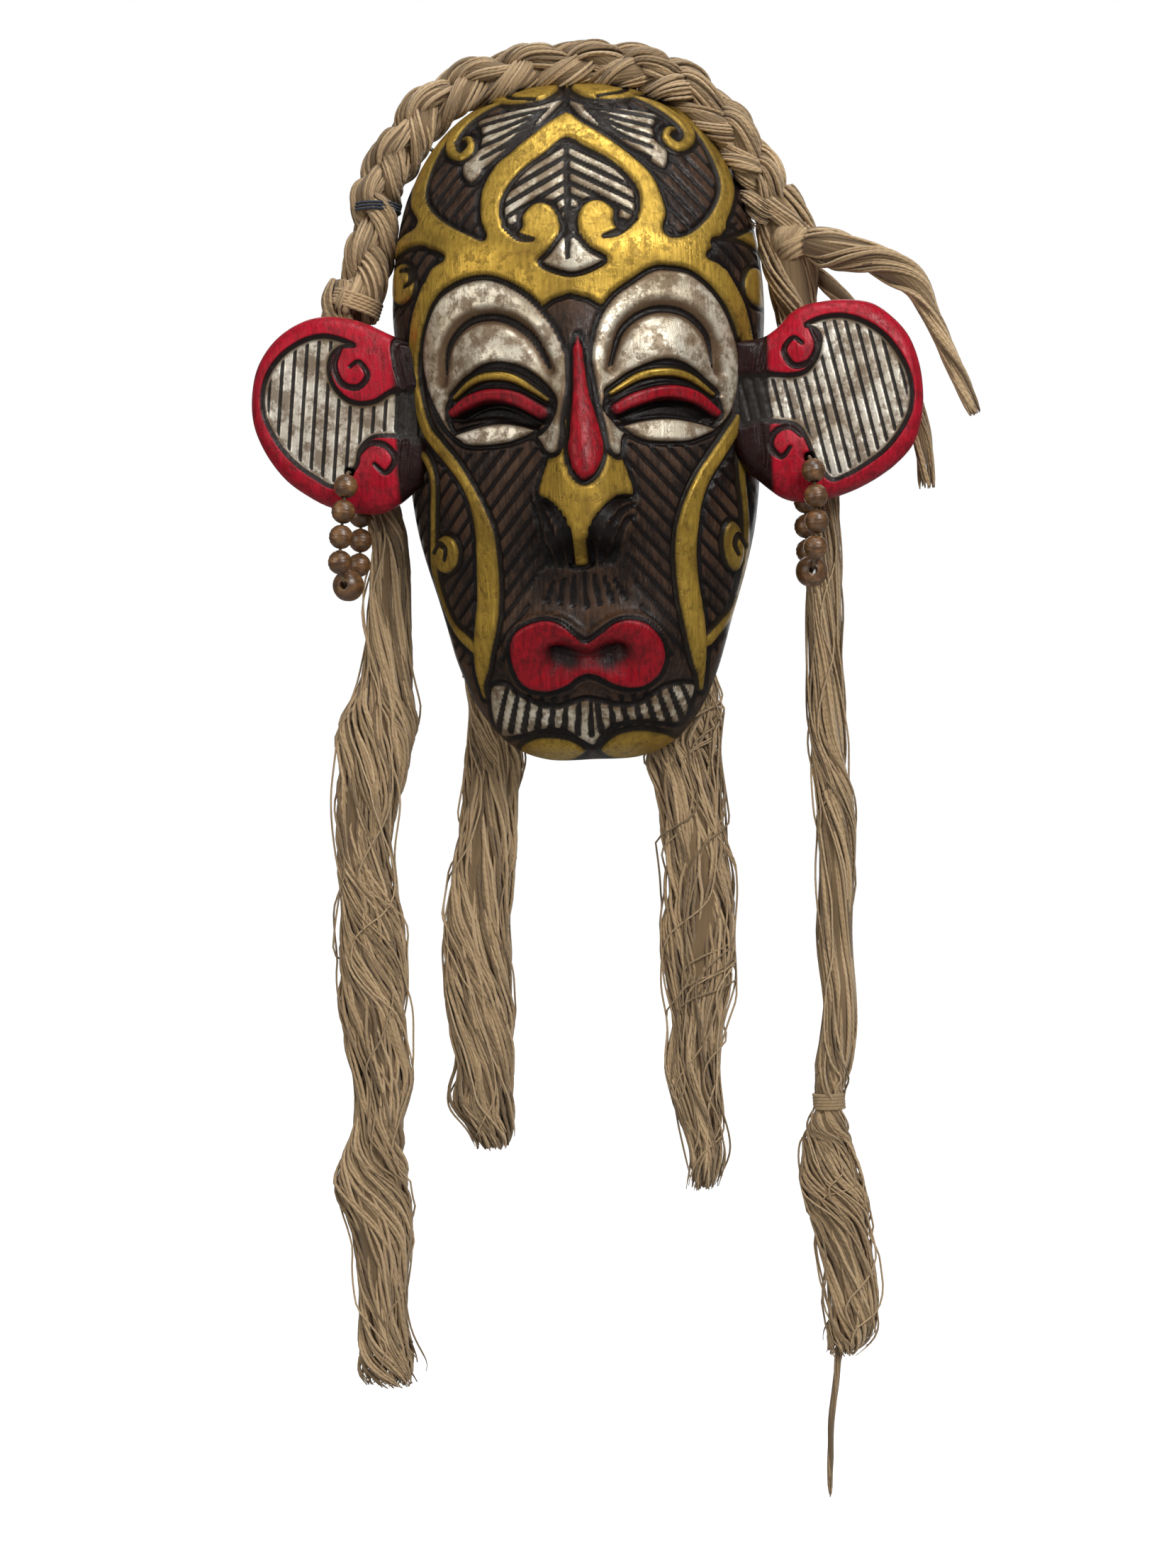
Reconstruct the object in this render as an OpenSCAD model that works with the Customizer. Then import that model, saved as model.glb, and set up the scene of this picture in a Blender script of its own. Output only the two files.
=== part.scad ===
// Carved wooden wall mask with board ears, jute hair and wooden bead earrings.
// Millimetres. +Z is up, the face looks along -Y, and the wall is the plane y = 0.
// The origin is the centre of the hanging hole, in the plate at the back of the head.

/* [Head] */
// Height of the carved head, chin to crown
head_h = 305; // [300:1:308]
// Widest part of the carved head
head_w = 168; // [164:1:170]
// How far the face stands out from the wall, without the nose
face_depth = 86; // [82:1:90]
// Thickness of the wall of the hollowed head at its rim
wall_t = 10; // [9:1:11]
// Thickness of the wood left behind the face
face_t = 14; // [13:1:18]
// How far the rim behind the jaw is cut back from the wall, to let the hair out
jaw_lift = 22; // [20:1:24]
// How far the nose stands out of the face
nose_h = 20; // [15:1:24]

/* [Ears] */
// Radius of the round ear boards
ear_r = 43.7; // [42:0.1:44]
// Thickness of an ear board
ear_t = 12; // [11.5:0.5:12.5]
// Width of the raised rim round an ear
ear_rim_w = 5.5; // [4:0.5:7]
// Depth of the sunk panel of an ear
panel_sink = 2; // [1:0.5:3]
// Number of grooves cut across an ear panel
ear_grooves = 12; // [8:1:14]
// Radius of the hole that an earring hangs in
ear_hole_r = 2.2; // [2:0.1:2.5]
// Radius of the dowels that hold the ears
dowel_r = 3; // [2.5:0.5:3]

/* [Hanger] */
// Radius of the hanging hole
hang_hole_r = 3; // [2.5:0.25:3.5]
// Thickness of the hanger plate
plate_t = 2; // [1.8:0.1:2.2]
// Width of the hanger plate
plate_w = 16; // [15:1:18]

/* [Hair] */
// How far a strand of the plait swings to each side of the plait's middle
plait_swing = 5.9; // [5.5:0.1:6]
// How far a strand of the plait swings to the front and back
plait_weave = 4.9; // [4.8:0.1:5]
// Radius of one strand of the plait
strand_r = 3.1; // [2.7:0.1:3.1]
// Length of plait in which a strand makes one full turn
plait_pitch = 76; // [70:2:82]
// Half the thickness of a hanging tress, front to back
tress_half_d = 7; // [6:0.5:7]
// Radius of the twine that ties the hair
twine_r = 1.4; // [1:0.1:1.4]

/* [Earrings] */
// Radius of the small beads
bead_r = 5.3; // [5:0.1:5.4]
// Radius of the bottom bead
drop_r = 7; // [6:0.1:7.2]
// Radius of the hole through a small bead
bead_hole_r = 2.1; // [2:0.1:2.3]
// Radius of the hole through the bottom bead
drop_hole_r = 3; // [2.9:0.1:3.3]
// Radius of the thread
thread_r = 0.7; // [0.6:0.1:0.8]

/* [Hidden] */
// Head: right-hand half of the outline, crown to chin, as [x, z] before scaling.
OUTLINE = [
    [0, 16], [20, 14.5], [39, 8], [54, -2], [66, -16], [76, -35], [82, -60], [84, -86], [82, -115],
    [80, -150], [77, -180], [72, -202], [64.5, -226], [57, -250], [48.5, -268], [36, -282], [20, -288.5],
    [0, -289]
];
MID_Z = -136;
LEVELS = 16;
INNER_LEVELS = 8;
SECTION_POWER = 0.42;
LIFT_TOP_Z = -205;
LIFT_FULL_Z = -245;

// Ears: centre of each board in x and z, where its earring hole is, and the dowels' heights.
EAR_BACK_Y = -38;
EAR_MIDDLE = [[-100.5, -132.7], [107.5, -136.7]];
EAR_HOLE = [[-101.5, -159], [100, -161.5]];
EAR_TOP_BULB = [[-98, -114.5], [97, -114.5]];
EAR_LOW_BULB = [[-88, -154.5], [90.5, -156]];
TOP_BULB_R = 9.5;
LOW_BULB_R = 9;
DOWEL_Z = [-118, -148];
DOWEL_IN_X = 61;
DOWEL_OUT_X = 92;
DOWEL_CLEAR = 0.04;

// Hanger: the plate reaches up on to the rim, and two nails hold it there.
PLATE_TOP_Z = 13;
PLATE_LOW_Z = -7;
NAIL_X = 4.5;
NAIL_Z = 9;
NAIL_R = 0.9;
NAIL_HEAD_R = 1.9;
NAIL_HEAD_T = 0.8;
NAIL_LEN = 13;

// Plait: middle line over the head from the left end to the right end, [x, z], about 14 apart.
PLAIT = [
    [-104.5, -82], [-100, -69], [-97, -56], [-94, -43], [-93, -30], [-87.5, -18], [-79, -7], [-71, 4],
    [-60, 13], [-47, 19.5], [-33, 23.5], [-19, 26.5], [-5, 27], [9, 26.5], [23, 25.5], [37, 22],
    [50, 17], [61, 8], [71, -2.5], [79.5, -14], [86.5, -26], [91, -38.5], [93, -50]
];
PLAIT_Y = -20;
PLAIT_STEP = 13.6;
TACK_AT = [2.2, 6.4, 10.6, 14.8, 19];
TACK_R = 1;
TACK_LEN = 26;

// Tresses: rings down each tress as [x, y, z, half width].
LEFT_OUTER = [
    [-104, -14, -96, 8], [-104, -14, -115, 10], [-101, -14, -140, 10], [-95, -14, -163, 9],
    [-90, -14, -178, 9], [-89, -14, -192, 9.5], [-91, -14, -220, 10.5], [-93, -14, -250, 13],
    [-98, -14, -270, 19], [-101, -14, -290, 17], [-105, -14, -310, 15], [-106, -14, -330, 13.5],
    [-104, -14, -350, 14], [-104.5, -14, -370, 16.5], [-105, -14, -390, 17], [-105, -14, -410, 15],
    [-102, -14, -430, 14], [-104, -14, -450, 12.5], [-107, -14, -465, 16], [-109, -14, -480, 18.5],
    [-106, -14, -500, 15], [-106, -14, -520, 12], [-106, -14, -540, 12], [-105, -14, -558, 15],
    [-104, -14, -568, 12]
];
LEFT_INNER = [
    [-50, -11, -238, 7], [-49, -11, -250, 9], [-46, -11, -264, 11], [-46, -11, -278, 12.5],
    [-46, -11, -290, 14], [-48, -11, -305, 14], [-51, -11, -325, 15], [-54, -11, -345, 15],
    [-57, -11, -365, 16], [-57, -11, -385, 16], [-57, -11, -405, 16], [-56, -11, -425, 15],
    [-58, -11, -442, 16], [-54, -11, -455, 11], [-53, -11, -463, 8]
];
RIGHT_INNER = [
    [49, -11, -238, 7], [46, -11, -250, 9], [42.5, -11, -264, 14], [40, -11, -278, 16.5],
    [39, -11, -290, 18], [41, -11, -310, 17], [43, -11, -330, 16], [44, -11, -350, 17],
    [42, -11, -370, 17.5], [42, -11, -390, 16], [41, -11, -410, 12.5], [38, -11, -430, 13],
    [41, -11, -450, 11], [43, -11, -468, 9], [40, -11, -484, 7]
];
RIGHT_OUTER = [
    [94, -14, -76, 7], [98, -14, -100, 8], [102, -14, -130, 8], [105, -14, -165, 8], [106, -14, -195, 8],
    [105, -14, -220, 8], [105, -14, -250, 8], [104.5, -14, -280, 8.5], [106, -14, -300, 9],
    [107, -14, -320, 9], [106.5, -14, -340, 8.5], [104, -14, -370, 8], [105, -14, -400, 7.5],
    [102, -14, -428, 9], [99, -14, -440, 7]
];
RIGHT_FOOT = [
    [98, -14, -452, 8], [97, -14, -465, 12], [98, -14, -480, 14.5], [100, -14, -491, 16],
    [102, -14, -503, 13], [104.5, -14, -520, 12.5], [105.5, -14, -540, 11.5], [103, -14, -552, 10],
    [99, -14, -560, 6]
];
// Loose ends of the plait, past the knot, as [x, y, z, radius].
TAIL_FRONT = [
    [105, -27, -64, 8], [114, -33, -68, 10], [126, -39, -73, 9.5], [138, -43, -79, 8.5],
    [149, -46, -88, 7], [155, -46, -100, 5], [161, -46, -115, 4.5], [167, -46, -130, 4],
    [173, -46, -146, 3]
];
TAIL_BACK = [
    [107, -11, -74, 3.5], [119, -14, -88, 4.5], [134, -18, -108, 4.5], [146, -21, -128, 4.5],
    [151, -23, -150, 5], [153, -24, -175, 4]
];
END_YARN = [
    [98, -14, -562, 2.2], [96, -14, -575, 2.2], [93.5, -14, -590, 2], [93, -14, -606, 2],
    [92, -14, -624, 1.8]
];
KNOT = [93.5, -20, -62];
KNOT_R = 9.5;
TIE_CLEAR_R = 10.6;
WHIP_X = [-49.4, 46.8];
WHIP_Z = -247;
WHIP_R = 9.6;
TRESS_NAIL_X = [-52.5, 52];
TRESS_NAIL_Z = -241.2;

// Earrings: the thread's closed line from the ear hole, down the front and up the back.
LEFT_LOOP = [
    [-101.5, -40.5, -159], [-101.5, -47.5, -159], [-101.5, -54.5, -160], [-102, -58, -166],
    [-103.5, -58.2, -177], [-105, -58.2, -188], [-106, -57.4, -199], [-105.6, -53, -206],
    [-104.3, -45.5, -208.4], [-102.4, -38, -205.5], [-101, -32, -198.5], [-100, -31, -187.5],
    [-99.6, -31, -176.5], [-100.2, -31.3, -166], [-101.3, -34, -160]
];
RIGHT_LOOP = [
    [100, -40.5, -161.5], [100, -47.5, -161.5], [100.4, -54.5, -162.5], [101.4, -58, -168.5],
    [102, -58.2, -179.5], [102, -58.2, -190.5], [101, -57.4, -201.5], [100.2, -53, -208.5],
    [99.2, -45.5, -211], [98.6, -38, -208], [98.3, -32, -201], [98, -31, -190],
    [98.2, -31, -179], [98.8, -31.3, -168.5], [99.6, -34, -162.5]
];
// Which points of the loop carry a bead; the first drop is the bottom bead.
BEAD_AT = [3, 4, 5, 6, 10, 11, 12];
DROP_AT = 8;

// ---- curves -------------------------------------------------------------------------------

// Point on a smooth curve through four neighbours, t from 0 to 1 between the middle two.
function bend(a, b, c, d, t) =
    0.5 * (2 * b + (c - a) * t + (2 * a - 5 * b + 4 * c - d) * t * t + (3 * b - a - 3 * c + d) * t * t * t);
// Point at u on an open curve through the list p, u counted in points.
function along(p, u) =
    let (last = len(p) - 1, i = min(floor(u), last - 1))
    bend(p[max(i - 1, 0)], p[i], p[i + 1], p[min(i + 2, last)], u - i);
// The same on a closed curve.
function around(p, u) =
    let (n = len(p), i = floor(u))
    bend(p[(i + n - 1) % n], p[i % n], p[(i + 1) % n], p[(i + 2) % n], u - i);
function unit(v) = v / norm(v);
function smooth(low, high, v) =
    let (t = min(1, max(0, (v - low) / (high - low)))) t * t * (3 - 2 * t);
function hill(x, z, cx, cz, rx, rz) = exp(-(pow((x - cx) / rx, 2) + pow((z - cz) / rz, 2)));

// A solid from a stack of equal rings, closed by a cap at each end.
module skin(rings) {
    m = len(rings);
    n = len(rings[0]);
    polyhedron(
        points = [for (ring = rings) each ring],
        faces = concat(
            [for (i = [0:m - 2], j = [0:n - 1]) [i * n + j, i * n + (j + 1) % n, (i + 1) * n + j]],
            [for (i = [0:m - 2], j = [0:n - 1])
                [i * n + (j + 1) % n, (i + 1) * n + (j + 1) % n, (i + 1) * n + j]],
            [[for (j = [n - 1:-1:0]) j], [for (j = [0:n - 1]) (m - 1) * n + j]]
        )
    );
}
// A ring of points round p, square to the direction d, with ref as the sideways guide.
function ring_at(p, d, ref, r, sides) =
    let (side = unit(cross(d, ref)), up = cross(side, d))
    [for (k = [0:sides - 1]) p + r * (cos(360 * k / sides) * side + sin(360 * k / sides) * up)];

// ---- head ---------------------------------------------------------------------------------

HALF = [for (i = [0:len(OUTLINE) - 2], t = [0, 0.5]) along(OUTLINE, i + t)];
function scaled(p) = [p[0] * head_w / 168, MID_Z + (p[1] - MID_Z) * head_h / 305];
RIM = concat(
    [for (p = HALF) scaled(p)], [scaled(OUTLINE[len(OUTLINE) - 1])],
    [for (i = [len(HALF) - 1:-1:1]) scaled([-HALF[i][0], HALF[i][1]])]
);
INNER_RIM = [for (p = RIM) let (v = p - [0, MID_Z]) [0, MID_Z] + v * (1 - wall_t / norm(v))];
function lift(z) = jaw_lift * smooth(-LIFT_TOP_Z, -LIFT_FULL_Z, -z);
// What stands out of the plain face: nose, brow, eye sockets and lids, lips and chin.
function relief(x, z) =
    let (rise = smooth(90, 180, -z) * (1 - smooth(192, 206, -z)), a = abs(x))
    nose_h * rise * exp(-pow(x / (9 + 7 * rise), 2)) + 4 * hill(a, z, 0, -70, 60, 14)
    - 8 * hill(a, z, 42, -112, 25, 32) + 7 * hill(a, z, 42, -114, 18, 20)
    + 12 * hill(a, z, 17, -243, 17, 14) + 4 * hill(a, z, 20, -272, 26, 10);
function dome(s) = pow(max(0, 1 - s * s), SECTION_POWER);
function face_point(rim, s, depth, carved) =
    let (x = rim[0] * s, z = MID_Z + (rim[1] - MID_Z) * s, back = lift(z))
    [x, -(back + (depth - back) * dome(s) + carved * relief(x, z) * sqrt(1 - s * s)), z];
module head_block() {
    n = len(RIM);
    outer = [for (k = [1:LEVELS]) let (s = sin(90 * k / LEVELS))
        each [for (p = RIM) face_point(p, s, face_depth, 1)]];
    inner = [for (k = [1:INNER_LEVELS]) let (s = sin(90 * k / INNER_LEVELS))
        each [for (p = INNER_RIM) face_point(p, s, face_depth - face_t, 0)]];
    outer_pole = [0, -(face_depth + relief(0, MID_Z)), MID_Z];
    inner_pole = [0, -(face_depth - face_t), MID_Z];
    start = LEVELS * n;
    outer_last = start - n;
    inner_last = start + (INNER_LEVELS - 1) * n;
    top = start + INNER_LEVELS * n;
    polyhedron(
        points = concat(outer, inner, [outer_pole, inner_pole]),
        faces = concat(
            [for (j = [0:n - 1]) [top, j, (j + 1) % n]],
            [for (k = [0:LEVELS - 2], j = [0:n - 1]) [k * n + j, (k + 1) * n + j, k * n + (j + 1) % n]],
            [for (k = [0:LEVELS - 2], j = [0:n - 1])
                [k * n + (j + 1) % n, (k + 1) * n + j, (k + 1) * n + (j + 1) % n]],
            [for (j = [0:n - 1]) [outer_last + j, inner_last + j, outer_last + (j + 1) % n]],
            [for (j = [0:n - 1]) [outer_last + (j + 1) % n, inner_last + j, inner_last + (j + 1) % n]],
            [for (j = [0:n - 1]) [top + 1, start + (j + 1) % n, start + j]],
            [for (k = [0:INNER_LEVELS - 2], j = [0:n - 1])
                [start + k * n + j, start + k * n + (j + 1) % n, start + (k + 1) * n + j]],
            [for (k = [0:INNER_LEVELS - 2], j = [0:n - 1])
                [start + k * n + (j + 1) % n, start + (k + 1) * n + (j + 1) % n, start + (k + 1) * n + j]]
        )
    );
}
module mask_shell() {
    color("saddlebrown") difference() {
        head_block();
        // Seat of the hanger plate and the holes of its nails.
        translate([-plate_w / 2 - 0.2, -plate_t - 0.1, 0])
            cube([plate_w + 0.4, plate_t + 1, PLATE_TOP_Z + 0.2]);
        for (x = [-NAIL_X, NAIL_X])
            translate([x, 0, NAIL_Z]) rotate([90, 0, 0])
                cylinder(h = NAIL_LEN + 0.2, r = NAIL_R + 0.03, $fn = 24);
        // Holes of the ear dowels, right through the wall.
        for (side = [-1, 1], z = DOWEL_Z)
            translate([side * 40, EAR_BACK_Y - ear_t / 2, z]) rotate([0, side * 90, 0])
                cylinder(h = 50, r = dowel_r + DOWEL_CLEAR, $fn = 32);
    }
}

// ---- ears ---------------------------------------------------------------------------------

module across(x, z, h, r) {
    translate([x, EAR_BACK_Y + 1, z]) rotate([90, 0, 0]) cylinder(h = h + 2, r = r, $fn = 64);
}
// One ear board: round, cut to lean on the side of the head, with a rim, two bulbs and grooves.
module ear(k, side) {
    mid = EAR_MIDDLE[k];
    front = EAR_BACK_Y - ear_t;
    color("firebrick") difference() {
        translate([mid[0], EAR_BACK_Y, mid[1]]) rotate([90, 0, 0])
            cylinder(h = ear_t, r = ear_r, $fn = 96);
        // The side of the head leans in towards the front and towards the jaw.
        mirror([side > 0 ? 1 : 0, 0, 0]) translate([-78.9, EAR_BACK_Y, -95]) rotate([0, -3.7, 27.3])
            translate([0, -60, -120]) cube([60, 120, 240]);
        difference() {
            translate([mid[0], front + panel_sink, mid[1]]) rotate([90, 0, 0])
                cylinder(h = panel_sink + 1, r = ear_r - ear_rim_w, $fn = 96);
            across(EAR_TOP_BULB[k][0], EAR_TOP_BULB[k][1], ear_t, TOP_BULB_R);
            across(EAR_LOW_BULB[k][0], EAR_LOW_BULB[k][1], ear_t, LOW_BULB_R);
        }
        for (i = [1:ear_grooves])
            translate([side * (82 + 56 * i / ear_grooves) - 0.6, front + panel_sink - 1, mid[1] - 20])
                cube([1.2, 1.5, 40]);
        across(EAR_HOLE[k][0], EAR_HOLE[k][1], ear_t, ear_hole_r);
        for (z = DOWEL_Z)
            translate([0, EAR_BACK_Y - ear_t / 2, z]) rotate([0, side * 90, 0])
                cylinder(h = DOWEL_OUT_X + 1, r = dowel_r + DOWEL_CLEAR, $fn = 32);
    }
}
module left_ear() { ear(0, -1); }
module right_ear() { ear(1, 1); }
module dowels(side) {
    color("burlywood") for (z = DOWEL_Z)
        translate([side * DOWEL_IN_X, EAR_BACK_Y - ear_t / 2, z]) rotate([0, side * 90, 0])
            cylinder(h = DOWEL_OUT_X - DOWEL_IN_X, r = dowel_r, $fn = 32);
}
module left_ear_dowels() { dowels(-1); }
module right_ear_dowels() { dowels(1); }

// ---- hanger -------------------------------------------------------------------------------

module hanger_plate() {
    color("gray") difference() {
        translate([0, 0, PLATE_LOW_Z]) rotate([90, 0, 0]) union() {
            translate([0, plate_w / 2, 0]) cylinder(h = plate_t, r = plate_w / 2, $fn = 48);
            translate([-plate_w / 2, plate_w / 2, 0])
                cube([plate_w, PLATE_TOP_Z - PLATE_LOW_Z - plate_w / 2, plate_t]);
        }
        translate([0, 1, 0]) rotate([90, 0, 0]) cylinder(h = plate_t + 2, r = hang_hole_r, $fn = 48);
        for (x = [-NAIL_X, NAIL_X]) translate([x, 1, NAIL_Z]) rotate([90, 0, 0]) {
            cylinder(h = plate_t + 2, r = NAIL_R + 0.05, $fn = 24);
            cylinder(h = 2, r = NAIL_HEAD_R + 0.1, $fn = 24);
        }
    }
}
// Two nails with flat heads let into the plate.
module hanger_nails() {
    color("dimgray") for (x = [-NAIL_X, NAIL_X]) translate([x, -0.15, NAIL_Z]) rotate([90, 0, 0]) {
        cylinder(h = NAIL_HEAD_T, r = NAIL_HEAD_R, $fn = 24);
        cylinder(h = NAIL_LEN, r = NAIL_R, $fn = 24);
    }
}

// ---- plait --------------------------------------------------------------------------------

function plait_mid(u) = let (p = along(PLAIT, u)) [p[0], PLAIT_Y, p[1]];
function plait_way(u) =
    let (last = len(PLAIT) - 1)
    unit(plait_mid(min(last, u + 0.05)) - plait_mid(max(0, u - 0.05)));
// Middle of strand k: side to side as a sine, front to back as a sine of twice the rate.
function strand_mid(k, u) =
    let (turn = 360 * u * PLAIT_STEP / plait_pitch + 120 * k, way = plait_way(u))
    plait_mid(u) + plait_swing * sin(turn) * cross(way, [0, 1, 0]) + plait_weave * sin(2 * turn) * [0, 1, 0];
module plait_strand(k) {
    last = len(PLAIT) - 1;
    steps = [for (u = [0.1:0.5:last - 0.3]) u];
    color("tan") skin([for (u = steps)
        ring_at(strand_mid(k, u), unit(strand_mid(k, u + 0.05) - strand_mid(k, u - 0.05)),
                [0, 1, 0], strand_r, 8)]);
}
module plait_strand_1() { plait_strand(0); }
module plait_strand_2() { plait_strand(1); }
module plait_strand_3() { plait_strand(2); }
// A ring of twine round the plait at u.
module twine_ring(u, shade) {
    p = plait_mid(u);
    way = plait_way(u);
    color(shade) translate(p) rotate([0, atan2(way[0], way[2]), 0])
        rotate_extrude($fn = 48) translate([TIE_CLEAR_R + twine_r, 0]) circle(r = twine_r, $fn = 16);
}
module plait_left_tie() { twine_ring(0.2, "tan"); }
module plait_thread_tie() { twine_ring(3.4, "midnightblue"); }
// Tacks driven through the plait into the edge of the head, towards its middle.
module plait_tacks() {
    color("dimgray") for (u = TACK_AT) {
        way = plait_way(u);
        translate(plait_mid(u)) rotate([0, atan2(way[0], way[2]) + 90, 0]) {
            translate([0, 0, -6]) cylinder(h = TACK_LEN, r = TACK_R, $fn = 24);
            translate([0, 0, -7]) cylinder(h = 1, r = 2.6, $fn = 24);
        }
    }
}
module plait_right_knot() {
    color("tan") translate(KNOT) sphere(r = KNOT_R, $fn = 48);
}
module tuft(line) {
    last = len(line) - 1;
    spots = [for (u = [0:0.5:last]) along(line, u)];
    n = len(spots) - 1;
    function xyz(p) = [p[0], p[1], p[2]];
    color("tan") skin([for (i = [0:n])
        ring_at(xyz(spots[i]), unit(xyz(spots[min(n, i + 1)]) - xyz(spots[max(0, i - 1)])),
                [0, 1, 0], spots[i][3], 8)]);
}
module tail_front() { tuft(TAIL_FRONT); }
module tail_back() { tuft(TAIL_BACK); }

// ---- tresses ------------------------------------------------------------------------------

// A hanging tress: level oval rings, smooth between the listed ones.
module tress(line, half_d) {
    last = len(line) - 1;
    color("tan") skin([for (u = [0:1:last]) let (p = along(line, u))
        [for (k = [9:-1:0]) [p[0] + p[3] * cos(36 * k), p[1] + half_d * sin(36 * k), p[2]]]]);
}
module left_outer_tress() { tress(LEFT_OUTER, tress_half_d); }
module left_inner_tress() { tress(LEFT_INNER, tress_half_d); }
module right_inner_tress() { tress(RIGHT_INNER, tress_half_d); }
module right_outer_tress() { tress(RIGHT_OUTER, tress_half_d - 1); }
module right_outer_foot() { tress(RIGHT_FOOT, tress_half_d); }
module right_outer_band() {
    color("tan") translate([98.5, -14, -449.5]) cylinder(h = 7, r = 6.5, $fn = 32);
}
module right_end_yarn() { tuft(END_YARN); }
module whipping(k) {
    color("tan") translate([WHIP_X[k], -10.8, WHIP_Z]) rotate_extrude($fn = 48)
        translate([WHIP_R, 0]) circle(r = 0.9, $fn = 16);
}
module left_inner_whipping() { whipping(0); }
module right_inner_whipping() { whipping(1); }
// A nail through the top of each inner tress into the back of the jaw's rim.
module tress_nails() {
    color("dimgray") for (x = TRESS_NAIL_X) translate([x, -2.5, TRESS_NAIL_Z]) rotate([90, 0, 0]) {
        cylinder(h = 1, r = 2.6, $fn = 24);
        cylinder(h = 30, r = 1, $fn = 24);
    }
}

// ---- earrings -----------------------------------------------------------------------------

module thread_loop(loop) {
    n = len(loop);
    sides = 8;
    rings = [for (u = [0:0.5:n - 0.5])
        ring_at(around(loop, u), unit(around(loop, u + 0.05) - around(loop, u + n - 0.05)),
                [1, 0, 0], thread_r, sides)];
    m = len(rings);
    color("saddlebrown") polyhedron(
        points = [for (ring = rings) each ring],
        faces = concat(
            [for (i = [0:m - 1], j = [0:sides - 1])
                [i * sides + j, i * sides + (j + 1) % sides, ((i + 1) % m) * sides + j]],
            [for (i = [0:m - 1], j = [0:sides - 1])
                [i * sides + (j + 1) % sides, ((i + 1) % m) * sides + (j + 1) % sides,
                 ((i + 1) % m) * sides + j]]
        )
    );
}
// A bead at point i of the loop, bored along the thread.
module bead(loop, i, r, hole_r) {
    way = unit(around(loop, i + 0.2) - around(loop, i + len(loop) - 0.2));
    color("sienna") translate(loop[i]) rotate([0, acos(way[2]), atan2(way[1], way[0])]) difference() {
        sphere(r = r, $fn = 48);
        translate([0, 0, -r - 1]) cylinder(h = 2 * r + 2, r = hole_r, $fn = 24);
    }
}
module left_earring_thread() { thread_loop(LEFT_LOOP); }
module right_earring_thread() { thread_loop(RIGHT_LOOP); }
module left_bead(k) { bead(LEFT_LOOP, BEAD_AT[k - 1], bead_r, bead_hole_r); }
module right_bead(k) { bead(RIGHT_LOOP, BEAD_AT[k - 1], bead_r, bead_hole_r); }
module left_drop_bead() { bead(LEFT_LOOP, DROP_AT, drop_r, drop_hole_r); }
module right_drop_bead() { bead(RIGHT_LOOP, DROP_AT, drop_r, drop_hole_r); }

mask_shell();
left_ear();
right_ear();
left_ear_dowels();
right_ear_dowels();
hanger_plate();
hanger_nails();
plait_strand_1();
plait_strand_2();
plait_strand_3();
plait_tacks();
plait_left_tie();
plait_thread_tie();
plait_right_knot();
tail_front();
tail_back();
left_outer_tress();
left_inner_tress();
right_inner_tress();
right_outer_tress();
right_outer_band();
right_outer_foot();
right_end_yarn();
left_inner_whipping();
right_inner_whipping();
tress_nails();
left_earring_thread();
right_earring_thread();
for (k = [1:7]) {
    left_bead(k);
    right_bead(k);
}
left_drop_bead();
right_drop_bead();
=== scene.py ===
import math
import bpy
import numpy as np
from mathutils import Matrix


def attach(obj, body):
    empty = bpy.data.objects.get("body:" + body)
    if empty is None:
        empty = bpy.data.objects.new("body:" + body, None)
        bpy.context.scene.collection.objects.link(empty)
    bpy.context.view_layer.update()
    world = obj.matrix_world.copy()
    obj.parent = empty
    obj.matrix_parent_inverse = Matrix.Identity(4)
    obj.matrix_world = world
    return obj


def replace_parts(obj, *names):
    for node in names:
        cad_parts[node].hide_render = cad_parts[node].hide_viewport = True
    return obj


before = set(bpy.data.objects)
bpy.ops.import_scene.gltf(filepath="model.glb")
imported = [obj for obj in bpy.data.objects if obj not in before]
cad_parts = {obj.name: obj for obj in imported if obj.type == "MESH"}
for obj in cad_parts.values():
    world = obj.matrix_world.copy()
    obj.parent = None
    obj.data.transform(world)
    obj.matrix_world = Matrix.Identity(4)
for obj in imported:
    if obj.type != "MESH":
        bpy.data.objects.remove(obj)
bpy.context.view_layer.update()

# ---- camera, floor and light ----------------------------------------------------------------
# The mask hangs in front of a white ground. The camera stands level and a little to the
# right of it, held slightly askew, and large soft lamps stand in front to both sides.
AIM = np.array([-0.003, -0.030, -0.300])
CAMERA_AWAY = 1.25
CAMERA_TURN = math.radians(3)
CAMERA_ROLL = math.radians(2.3)
CAMERA_LENS = 64.6
CAMERA_SEES = 30


def placed(right, up, back, place):
    """A pose whose columns are the right, up and backward directions and the place."""
    pose = np.identity(4)
    pose[:3] = np.stack([right, up, back, place], axis=1)
    return Matrix(pose.tolist())


back_way = np.array([math.sin(CAMERA_TURN), -math.cos(CAMERA_TURN), 0])
level_right = np.array([math.cos(CAMERA_TURN), math.sin(CAMERA_TURN), 0])
level_up = np.array([0, 0, 1])
right_way = level_right * math.cos(CAMERA_ROLL) - level_up * math.sin(CAMERA_ROLL)
up_way = level_up * math.cos(CAMERA_ROLL) + level_right * math.sin(CAMERA_ROLL)
camera = bpy.data.objects.new("camera", bpy.data.cameras.new("camera"))
bpy.context.scene.collection.objects.link(camera)
camera.matrix_world = placed(right_way, up_way, back_way, AIM + back_way * CAMERA_AWAY)
camera.data.lens = CAMERA_LENS
camera.data.clip_end = CAMERA_SEES
bpy.context.scene.camera = camera
bpy.context.scene.view_settings.view_transform = "Standard"

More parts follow.
